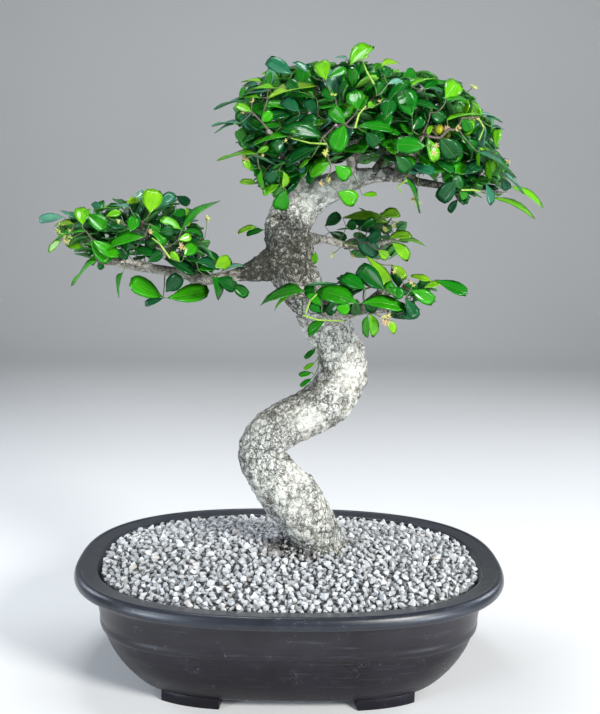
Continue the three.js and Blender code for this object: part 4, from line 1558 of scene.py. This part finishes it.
seenCalyces = {
    "crown": [
        (252, 103, 3.2, 0.15), (243, 112, 2.8, 0.1), (327, 152, 3.4, 0.95), (334, 95, 2.4, 0.9),
        (472, 88, 2.8, 0.85), (477, 117, 3.0, 0.2), (436, 147, 3.8, 0.35), (418, 197, 4.2, 0.95),
        (325, 180, 4.2, 0.3), (507, 162, 3.0, 0.3), (288, 143, 2.4, 0.8), (262, 158, 2.6, 0.5),
        (243, 159, 3.2, 0.0), (382, 102, 2.6, 0.6), (458, 128, 2.8, 0.5), (449, 129, 3.4, 0.1),
    ],
    "left": [
        (57, 233, 3.6, 0.85), (66, 240, 3.4, 0.45), (61, 223, 3.4, 0.9), (184, 247, 3.8, 0.3),
        (207, 219, 3.0, 0.8), (70, 232, 3.0, 0.7), (150, 232, 2.6, 0.4), (120, 222, 2.6, 0.6),
    ],
    "right": [(384, 319, 4.6, 0.35), (388, 316, 3.6, 0.6), (396, 270, 2.6, 0.5), (412, 284, 2.6, 0.5)],
    "back": [(353, 256, 3.4, 0.3), (385, 229, 3.6, 0.8), (393, 223, 3.4, 0.8), (333, 254, 2.8, 0.8)],
}

# Bare stems: pixels from the foot to the tip

seenStems = {
    "crown": [
        [(327, 144), (310, 143), (291, 138)], [(374, 84), (367, 72), (362, 60)],
        [(355, 128), (359, 114), (366, 106)], [(461, 190), (474, 190), (485, 193)],
        [(407, 180), (398, 186), (401, 192)], [(478, 118), (484, 128), (479, 140)],
    ],
    "left": [[(170, 258), (160, 244), (152, 238)], [(72, 238), (64, 234), (57, 233)]],
    "right": [[(303, 315), (318, 320), (343, 321)], [(306, 312), (310, 301), (317, 294)]],
    "back": [[(322, 238), (340, 242), (358, 247)]],
}

# Where the foliage ends in the picture, pad by pad, for the leaves that fill it

outlines = {
    "crown": [
        (238, 128), (236, 108), (246, 84), (266, 68), (300, 62), (330, 62), (352, 58), (376, 62), (404, 68),
        (432, 76), (458, 84), (476, 98), (488, 118), (496, 146), (506, 166), (508, 186), (484, 198),
        (458, 200), (440, 184), (418, 178), (392, 168), (352, 160), (318, 166), (292, 188), (272, 196),
        (256, 184), (250, 160), (242, 146),
    ],
    "left": [
        (56, 226), (80, 208), (112, 200), (146, 192), (176, 194), (196, 210), (206, 236), (222, 262),
        (236, 284), (214, 288), (196, 270), (160, 258), (116, 262), (92, 266), (70, 246),
    ],
    "right": [
        (280, 290), (318, 280), (346, 272), (366, 262), (390, 262), (412, 272), (438, 282), (438, 300),
        (414, 312), (384, 322), (356, 312), (322, 316),
    ],
    "back": [
        (318, 206), (350, 204), (384, 208), (404, 214), (408, 236), (404, 254), (384, 262), (354, 254),
        (326, 250),
    ],
}

foliage = {
    "seed": 4,
    "nodes": {"crown": 40, "left": 26, "right": 14, "back": 15, "trunk": 2},  # leaf clusters for each shoot
    "nodeTries": 4,  # for each of them
    "reach": {"crown": 30, "left": 24, "right": 15, "back": 16, "trunk": 8},  # millimetres round a shoot
    "leavesInCluster": (3, 5),
    "length": (15, 26),
    "breadth": (0.50, 0.66),
    "splay": (0.5, 1.25),  # how far a leaf leans out of its cluster, in radians
    "tilt": 0.38,
    "faceOut": 0.5,  # how much leaves turn away from the pad's middle, and to the light
    "faceUp": 0.85,
    "fullTone": {"crown": 0.07, "left": 0.05, "right": 0.05, "back": 0.05, "trunk": 0.05},  # metres out
    "paleTone": (0.6, 0.9),
    "paleShare": (0.08, 0.16),  # of the outer leaves, before and behind the pad's middle
    "sheenTone": (0.06, 0.14),
    "seenBreadth": 0.52,  # what a leaf seen edge on has of its length
    "seenLean": 0.6,  # most that a seen leaf runs back or forward, of its length
    "edgeOn": 0.9,  # roll from which a seen leaf is taken for an arched one, in radians
    "clusterSpacing": 5,
    "setBack": 8,  # millimetres behind the front of a pad, for the leaves that fill it
    "berryRoom": 11,
    "backmost": 138 * mm,
    "overhang": 14,  # millimetres that leaves may reach past the back of a pad's rounded mass
    "leafTries": 6,
    "closeLeaves": 34 * mm,
    "mayTouch": 6,  # faces that a leaf may cut through at its last two tries
    "berryStalk": ((449, 129), 0.010),  # pixel that the berries hang from, and metres behind them
}


def inOutline(region, point):
    if region not in outlines:
        return True
    x, y = pixelOf(point)
    inside = False
    corners = outlines[region]
    for (x1, y1), (x2, y2) in zip(corners, corners[1:] + corners[:1]):
        if (y1 > y) != (y2 > y) and x < (x2 - x1) * (y - y1) / (y2 - y1) + x1:
            inside = not inside
    return inside


def domeDepth(region, px, py):
    # the front of a pad's rounded mass behind a pixel, closer at each of three steps
    middle, half = pads[region]["middle"], pads[region]["half"]
    depth = middle[1] * mm
    for _ in range(3):
        point = seenAt(px, py, depth) / mm
        share = 1 - ((point.x - middle[0]) / half[0]) ** 2 - ((point.z - middle[2]) / half[2]) ** 2
        depth = (middle[1] - half[1] * math.sqrt(max(0.0, share))) * mm
    return depth


def beyondDome(region, point):
    # whether a place behind a pad's middle lies outside its rounded mass
    middle, half = pads[region]["middle"], pads[region]["half"]
    if point.y / mm < middle[1]:
        return False
    return sum(((point[i] / mm - middle[i]) / (half[i] + foliage["overhang"])) ** 2 for i in range(3)) > 1


class Leaf:
    def __init__(self, region, base, direction, normal, length, width, kind, tone):
        self.region = region
        self.base = base
        self.kind = kind
        self.tone = tone
        self.size = (length, width, length)
        along = direction.normalized()
        face = (normal - along * normal.dot(along)).normalized()
        self.turned = Matrix((along, face.cross(along), face)).transposed()
        self.middle = base + along * length * 0.6
        self.tip = base + along * length
        self.surface = None

    def points(self):
        placed = self.turned @ Matrix.Diagonal(self.size)
        return [self.base + placed @ Vector(p) for p in leafShapes[self.kind]]

    def shell(self):
        if self.surface is None:
            self.surface = BVHTree.FromPolygons(self.points(), leafTop + leafBottom)
        return self.surface


def seenLeaf(region, row, chooser):
    px, py, tipX, tipY, width, tone = row[:6]
    back = row[6] if len(row) > 6 else 0
    depth = domeDepth(region, px, py) + back * mm
    tipDepth = domeDepth(region, tipX, tipY) + back * mm
    base = seenAt(px, py, depth)
    span = (seenAt(tipX, tipY, depth) - base).length
    most = foliage["seenLean"] * span
    lean = max(-most, min(most, tipDepth - depth))
    along = seenAt(tipX, tipY, depth + lean) - base
    length = along.length
    # one that looks narrow is rolled about its length
    wide = width * span / max(1.0, math.hypot(tipX - px, tipY - py))
    natural = max(wide, foliage["seenBreadth"] * length)
    roll = math.acos(min(1.0, wide / natural))
    direction = along.normalized()
    facing = (cameraPlace - base).normalized()
    facing = (facing - direction * facing.dot(direction)).normalized()
    aside = direction.cross(facing)
    if aside.z < 0:
        aside = -aside
    normal = facing * math.cos(roll) + aside * math.sin(roll)
    kind = chooser.choice(list(leafKinds))
    if roll > foliage["edgeOn"]:
        kind = "arched"
    return Leaf(region, base, along, normal, length, natural, kind, tone)


def boxMiddle(name):
    low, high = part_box(name)
    return (low + high) / 2


berryPlaces = [boxMiddle(f"berry_{side}") for side in ("left", "right")]


def seenShapes(leaves):
    # the seen leaves and the berries in one surface
    points, faces = [], []
    for leaf in leaves:
        faces += [tuple(len(points) + corner for corner in face) for face in leafTop]
        points += leaf.points()
    for side in ("left", "right"):
        low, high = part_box(f"berry_{side}")
        first = len(points)
        faces.append((first, first + 1, first + 2, first + 3))
        corners = ((low.x, low.z), (high.x, low.z), (high.x, high.z), (low.x, high.z))
        points += [Vector((x, high.y, z)) for x, z in corners]
    return BVHTree.FromPolygons(points, faces)


def hidesSeen(leaf, seenSurface):
    # whether a leaf would stand before one that the picture shows, tried along its middle and at its edges
    along, across = leaf.turned.col[0], leaf.turned.col[1]
    length, width = leaf.size[:2]
    for share, side in ((0.1, 0), (0.35, 0), (0.6, 0), (0.6, 0.5), (0.6, -0.5), (1, 0)):
        point = leaf.base + along * length * share + across * width * side
        ray = point - cameraPlace
        hit = seenSurface.ray_cast(cameraPlace, ray.normalized())
        if hit[0] is not None and hit[3] > ray.length:
            return True
    return False


def fits(leaf, leaves, allowed, seenSurface):
    if not (inOutline(leaf.region, leaf.base) and inOutline(leaf.region, leaf.tip)):
        return False
    if leaf.tip.y > foliage["backmost"] or beyondDome(leaf.region, leaf.tip):
        return False
    front = domeDepth(leaf.region, *pixelOf(leaf.middle)) + foliage["setBack"] * mm
    if leaf.region in outlines and leaf.middle.y < front:
        return False
    if any((leaf.middle - place).length < foliage["berryRoom"] * mm for place in berryPlaces):
        return False
    if hidesSeen(leaf, seenSurface) or leaf.shell().overlap(barkSurface):
        return False
    close = [other for other in leaves if (other.middle - leaf.middle).length < foliage["closeLeaves"]]
    return sum(len(leaf.shell().overlap(other.shell())) for other in close) <= allowed


def fillTone(region, node, centre, chooser):
    # darker inside a pad, with some pale leaves at its edge and a few with a painted sheen
    share = min(1.0, (node - centre).length / foliage["fullTone"][region])
    tone = 0.16 + 0.38 * share ** 2 * chooser.random() + 0.08 * chooser.random()
    luck = chooser.random()
    before, behind = foliage["paleShare"]
    if share > 0.7 and luck < (before if node.y < centre.y else behind):
        return chooser.uniform(*foliage["paleTone"])
    if luck > 0.9:
        return chooser.uniform(*foliage["sheenTone"])
    return tone


def fillLeaf(region, node, outward, angle, chooser):
    # a leaf that leans out of its cluster to the side that the angle gives
    centre = Vector(pads[region]["middle"]) * mm
    side = outward.orthogonal().normalized()
    turn = angle + chooser.uniform(-0.5, 0.5)
    spread = side * math.cos(turn) + outward.cross(side) * math.sin(turn)
    splay = chooser.uniform(*foliage["splay"])
    direction = outward * math.cos(splay) + spread * math.sin(splay)
    tilt = thrown(chooser, foliage["tilt"])
    normal = outward * foliage["faceOut"] + Vector((0, 0, foliage["faceUp"])) - spread * 0.25 + tilt
    length = chooser.uniform(*foliage["length"]) * mm
    width = length * chooser.uniform(*foliage["breadth"])
    tone = fillTone(region, node, centre, chooser)
    kind = chooser.choice(list(leafKinds))
    return Leaf(region, node, direction, normal, length, width, kind, tone)


def fillCluster(region, node, leaves, chooser, seenSurface):
    # adds the leaves of one cluster that find room, and says how many did
    outward = (node - Vector(pads[region]["middle"]) * mm).normalized() + Vector((0, 0, 0.35))
    outward.normalize()
    count = chooser.randint(*foliage["leavesInCluster"])
    start = chooser.uniform(0, math.tau)
    grown = 0
    for number in range(count):
        for attempt in range(foliage["leafTries"]):
            leaf = fillLeaf(region, node, outward, start + math.tau * number / count, chooser)
            allowed = 0 if attempt < foliage["leafTries"] - 2 else foliage["mayTouch"]
            if fits(leaf, leaves, allowed, seenSurface):
                leaves.append(leaf)
                grown += 1
                break
    return grown


def fillShoot(name, leaves, clusters, chooser, seenSurface):
    # clusters of leaves round a shoot's middle, wherever there is still room
    region = name.split("_")[0]
    middle = boxMiddle(name)
    wanted = foliage["nodes"][region]
    for _ in range(wanted * foliage["nodeTries"]):
        if sum(1 for _, owner in clusters if owner == name) >= wanted:
            break
        node = middle + thrown(chooser, 0.5) * (foliage["reach"][region] * mm)
        if any((node - place).length < foliage["clusterSpacing"] * mm for place, _ in clusters):
            continue
        if not inOutline(region, node):
            continue
        if fillCluster(region, node, leaves, chooser, seenSurface):
            clusters.append((node, name))


shootNames = sorted(name for name in nodes if "_shoot_" in name)
shootMiddles = {name: boxMiddle(name) for name in shootNames}


def nearestShoot(point, region):
    names = [name for name in shootNames if name.startswith(region)]
    return min(names, key=lambda name: (shootMiddles[name] - point).length)


def growLeaves():
    # the seen leaves first, then the rest round them; a cluster is a place and the shoot that it belongs to
    chooser = random.Random(foliage["seed"])
    leaves = [seenLeaf(region, row, chooser) for region, rows in seenLeaves.items() for row in rows]
    clusters = [(leaf.base, nearestShoot(leaf.base, leaf.region)) for leaf in leaves]
    print("leaves seen:", len(leaves))
    seenSurface = seenShapes(leaves)
    for name in shootNames:
        fillShoot(name, leaves, clusters, chooser, seenSurface)
    print("leaves in all:", len(leaves))
    return leaves, clusters


def seenCalyxPlaces():
    # where each calyx sits, just in front of the leaves' own surface
    places = []
    for region, rows in seenCalyces.items():
        for px, py, size, tone in rows:
            depth = domeDepth(region, px, py) - 2 * mm
            places.append((seenAt(px, py, depth), size * mm, tone, region))
    return places


def stemPaths():
    # the berries' stalks, from the fork that they share, and the bare stems that the picture shows
    (px, py), behind = foliage["berryStalk"]
    fork = seenAt(px, py, berryPlaces[0].y + behind)
    owner = nearestShoot(fork, "crown")
    stems = [([fork, place], owner) for place in berryPlaces]
    for region, lines in seenStems.items():
        for line in lines:
            path = [seenAt(px, py, domeDepth(region, px, py) - 1 * mm) for px, py in line]
            stems.append((path, nearestShoot(path[0], region)))
    return stems


twigs = {
    "seed": 5,
    "above": 0.205,  # metres up the trunk from where twigs may grow
    "girth": 0.036,  # of the thickest wood that carries them
    "everyPoint": 5,  # of the bark's mesh
    "detour": 0.35,  # how much the way along other twigs counts
    "sway": 0.12,
    "droop": 0.12,
    "shortest": 0.4 * mm,  # under which a cluster sits on what carries it
    "rise": 0.3 * mm,  # of a cluster that does
    "step": 5 * mm,
    "steps": (2, 6),
    "tip": 0.30 * mm,  # radius of one that carries a single leaf cluster
    "growth": 0.40,
    "limit": 1.4 * mm,
    "taper": (1.15, 0.25),  # its foot's thickness, and how much of that is lost by the tip
    "oldAfter": 8,  # clusters carried
    "stem": 0.75 * mm,
}


def twigPath(start, target, chooser):
    # a line that bows and droops a little on its way to a cluster
    span = (target - start).length
    if span < twigs["shortest"]:
        return [start, target + Vector((0, 0, twigs["rise"]))]
    sway = thrown(chooser, twigs["sway"]) - Vector((0, 0, twigs["droop"]))
    control = (start + target) / 2 + sway * span
    fewest, most = twigs["steps"]
    count = max(fewest, min(most, int(span / twigs["step"]) + 2))
    return [bowed(start, control, target, k / count) for k in range(count + 1)]


def growTwigs(clusters):
    # joins every cluster to the nearest wood or twig, nearest clusters first
    chooser = random.Random(twigs["seed"])
    points = coords(bark)
    girth = np.empty(len(points), np.float32)
    bark.data.attributes["girth"].data.foreach_get("value", girth)
    usable = (points[:, 2] > twigs["above"]) & (girth < twigs["girth"])
    spots = points[usable][::twigs["everyPoint"]]
    cost = np.zeros(len(spots))
    owner = [-1] * len(spots)
    order = sorted(range(len(clusters)), key=lambda i: barkSurface.find_nearest(clusters[i][0])[3])
    chains, parents = {}, {}
    for i in order:
        target = clusters[i][0]
        best = int(np.argmin(farFrom(spots, target) + twigs["detour"] * cost))
        start = Vector(spots[best])
        parents[i] = owner[best]
        chains[i] = twigPath(start, target, chooser)
        if len(chains[i]) > 2:
            fresh = np.array([tuple(p) for p in chains[i][1:]])
            spots = np.concatenate([spots, fresh])
            cost = np.concatenate([cost, np.full(len(fresh), cost[best] + (target - start).length)])
            owner += [i] * len(fresh)
    # a twig is as thick as what it carries asks for
    load = {i: 1 for i in chains}
    for i in reversed(order):
        if parents[i] >= 0:
            load[parents[i]] += load[i]
    return chains, load


# What each point of a shoot's source holds: kind of value and what it is where nothing is given

pointValues = {
    "isLeaf": ("BOOLEAN", False),
    "turn": ("FLOAT_VECTOR", (0, 0, 0)),
    "size": ("FLOAT_VECTOR", (0, 0, 0)),
    "kind": ("INT", 0),
    "tone": ("FLOAT", 0),
    "thickness": ("FLOAT", 0),
    "age": ("FLOAT", 0),
}


class Source:
    # a mesh of loose points for a shoot's leaves and chains of points for its twigs
    def __init__(self):
        self.points = []
        self.edges = []
        self.values = {key: [] for key in pointValues}

    def add(self, point, **given):
        self.points.append(tuple(point))
        for key, (_, default) in pointValues.items():
            self.values[key].append(given.get(key, default))

    def addLeaf(self, leaf):
        kind = sorted(leafKinds).index(leaf.kind)
        turn = tuple(leaf.turned.to_euler())
        self.add(leaf.base, isLeaf=True, turn=turn, size=leaf.size, kind=kind, tone=leaf.tone)

    def addChain(self, path, radii, ages):
        for k, (point, radius, age) in enumerate(zip(path, radii, ages)):
            self.add(point, thickness=radius, age=age)
            if k:
                self.edges.append((len(self.points) - 2, len(self.points) - 1))

    def addTwig(self, path, load):
        thick = min(twigs["limit"], twigs["tip"] * load ** twigs["growth"])
        foot, lost = twigs["taper"]
        shares = [k / (len(path) - 1) for k in range(len(path))]
        radii = [thick * (foot - lost * share) for share in shares]
        ages = [min(1.0, 0.2 + load / twigs["oldAfter"] + 0.2 * (1 - share)) for share in shares]
        self.addChain(path, radii, ages)

    def addStem(self, path):
        radii = [twigs["stem"] * (1.1 - 0.2 * k) for k in range(len(path))]
        self.addChain(path, radii, [0.0] * len(path))

    def made(self, name):
        data = bpy.data.meshes.new(name)
        data.from_pydata(self.points, self.edges, [])
        for key, (kind, _) in pointValues.items():
            attribute = data.attributes.new(key, kind, "POINT")
            if kind == "FLOAT_VECTOR":
                attribute.data.foreach_set("vector", np.array(self.values[key], np.float32).ravel())
            else:
                attribute.data.foreach_set("value", self.values[key])
        return inScene(f"{name} source", data)


def shootSources(leaves, clusters, stems):
    sources = {name: Source() for name in shootNames}
    for leaf in leaves:
        sources[nearestShoot(leaf.base, leaf.region)].addLeaf(leaf)
    chains, load = growTwigs(clusters)
    print("twigs grown:", len(chains))
    for i, (_, owner) in enumerate(clusters):
        sources[owner].addTwig(chains[i], load[i])
    for path, owner in stems:
        sources[owner].addStem(path)
    return sources


def makeShoots():
    shapes = bpy.data.collections.new("leaf shapes")  # the shoots pick from it; nothing in it is drawn
    for kind in sorted(leafKinds):
        shapes.objects.link(leafObject(kind))
    leaves, clusters = growLeaves()
    clusters += [(place, nearestShoot(place, region)) for place, _, _, region in seenCalyxPlaces()]
    stems = stemPaths()
    # a twig reaches the foot of each stem, once for the berries' fork
    clusters += [(path[0], owner) for path, owner in stems[1:]]
    sources = shootSources(leaves, clusters, stems)
    grow = shootTree(leafMaterial(), twigMaterial())
    faces = 0
    for name, source in sources.items():
        values = {"Leaf Shapes": shapes, "Twig Sides": 5}
        made = grownBy(source.made(name), grow, values, name.replace("shoot", "leaves"))
        for spare in ("turn", "size", "kind", "isLeaf", "thickness"):
            if spare in made.data.attributes:
                made.data.attributes.remove(made.data.attributes[spare])
        settle(made, "leaf", name)
        faces += len(made.data.polygons)
    print("shoots made:", faces, "faces")


makeShoots()

# Calyces, five-pointed and open towards the light

calyx = {
    "points": 5,
    "hollow": 0.34,  # of a point's reach, as the next three
    "lift": 0.45,
    "cup": 0.55,
    "rise": 0.12,
    "seed": 8,
    "dry": ((0.30, 0.13, 0.07), (0.58, 0.38, 0.26)),
    "fresh": ((0.34, 0.48, 0.03), (0.66, 0.68, 0.18)),
}


def calyxMaterial():
    material, tree, shader = newMaterial("dry calyx")
    specks = mottle(tree, 0.002, 0.0005)["Specks"]
    brown = blendColours(tree, specks, *calyx["dry"])
    fresh = blendColours(tree, specks, *calyx["fresh"])
    final = blendColours(tree, readValue(tree, "tone"), brown, fresh)
    normal = bumpOf(tree, specks, 0.0003)
    feed(tree, shader, {"Base Color": final, "Roughness": 0.6, "Normal": normal})
    return material


def calyxShape(place, towards, size, turn):
    # a star with a cup under it, closed all round
    aside = towards.orthogonal().normalized()
    across = towards.cross(aside)
    count = calyx["points"] * 2
    points = [place + towards * size * calyx["rise"], place - towards * size * calyx["cup"]]
    for i in range(count):
        reach = size if i % 2 == 0 else size * calyx["hollow"]
        rise = size * calyx["lift"] if i % 2 == 0 else 0
        angle = turn + math.tau * i / count
        points.append(place + (aside * math.cos(angle) + across * math.sin(angle)) * reach + towards * rise)
    faces = []
    for i in range(count):
        here, after = 2 + i, 2 + (i + 1) % count
        faces += [(0, here, after), (1, after, here)]
    return points, faces


def makeCalyces():
    # one to three stars at each place that the picture shows
    chooser = random.Random(calyx["seed"])
    points, faces, tones = [], [], []
    for place, size, tone, region in seenCalyxPlaces():
        outward = (place - Vector(pads[region]["middle"]) * mm).normalized()
        for _ in range(chooser.randint(1, 3)):
            towards = (outward + thrown(chooser, 0.5) + Vector((0, -0.3, 0.3))).normalized()
            spot = place + thrown(chooser, 0.5) * size * 0.8
            made, sides = calyxShape(spot, towards, size * chooser.uniform(0.6, 1), chooser.random() * 2)
            faces += [tuple(len(points) + corner for corner in side) for side in sides]
            points += made
            tones += [min(1.0, max(0.0, tone + chooser.gauss(0, 0.12)))] * len(made)
    stars = meshObject("flower_calyces", points, faces, smooth=False)
    storeValues(stars, "tone", tones)
    dress(stars, [calyxMaterial()])
    settle(stars, "leaf")


makeCalyces()
print("calyces made")

# Berries

berry = {
    "skin": ((0.42, 0.58, 0.02), (0.68, 0.62, 0.03)),
    "height": 0.96,  # of its width
    "dimple": 0.10,
    "dimpleWidth": 0.12,
    "around": 28,
    "rings": 18,
}


def berryMaterial():
    material, tree, shader = newMaterial("ripening berry")
    final = blendColours(tree, mottle(tree, 0.003, 0.0005)["Patches"], *berry["skin"])
    feed(tree, shader, {
        "Base Color": final, "Roughness": 0.3, "Subsurface Weight": 0.1, "Subsurface Scale": 0.002,
    })
    return material


def makeBerry(side, skin):
    # a ball with a dimple at its end
    low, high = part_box(f"berry_{side}")
    middle, radius = (low + high) / 2, (high.x - low.x) / 2
    ball = bmesh.new()
    bmesh.ops.create_uvsphere(ball, u_segments=berry["around"], v_segments=berry["rings"], radius=1)
    for vertex in ball.verts:
        x, y, z = vertex.co
        sunk = 1 - berry["dimple"] * math.exp(-((1 - z) / berry["dimpleWidth"]))
        vertex.co = Vector((x, y, z * berry["height"] * sunk)) * radius + middle
    name = f"ripe_berry_{side}"
    made = inScene(name, meshFrom(ball, name))
    made.data.shade_smooth()
    dress(made, [skin])
    settle(made, "berry", f"berry_{side}")


berrySkin = berryMaterial()
for side in ("left", "right"):
    makeBerry(side, berrySkin)
print("berries made")

# Soil and drain screens keep their own shape

hidden = {
    "soil": ((0.035, 0.022, 0.014), (0.10, 0.07, 0.045)),
    "screen": ((0.012, 0.013, 0.012), (0.03, 0.03, 0.028)),
}


def soilMaterial():
    material, tree, shader = newMaterial("soil")
    spots = mottle(tree, 0.006, 0.0015)
    final = blendColours(tree, spots["Patches"], *hidden["soil"])
    normal = bumpOf(tree, spots["Specks"], 0.002, 0.8)
    feed(tree, shader, {"Base Color": final, "Roughness": 0.95, "Normal": normal})
    return material


def screenMaterial():
    material, tree, shader = newMaterial("drain screen plastic")
    spots = mottle(tree, 0.01, 0.0006)
    final = blendColours(tree, spots["Patches"], *hidden["screen"])
    rough = remap(tree, spots["Specks"], 0.0, 1.0, 0.45, 0.65)
    feed(tree, shader, {"Base Color": final, "Roughness": rough})
    return material


dress(nodes["soil_mix"], [soilMaterial()])
screenSkin = screenMaterial()
for side in ("left", "right"):
    dress(nodes[f"drain_mesh_{side}"], [screenSkin])

print("done")
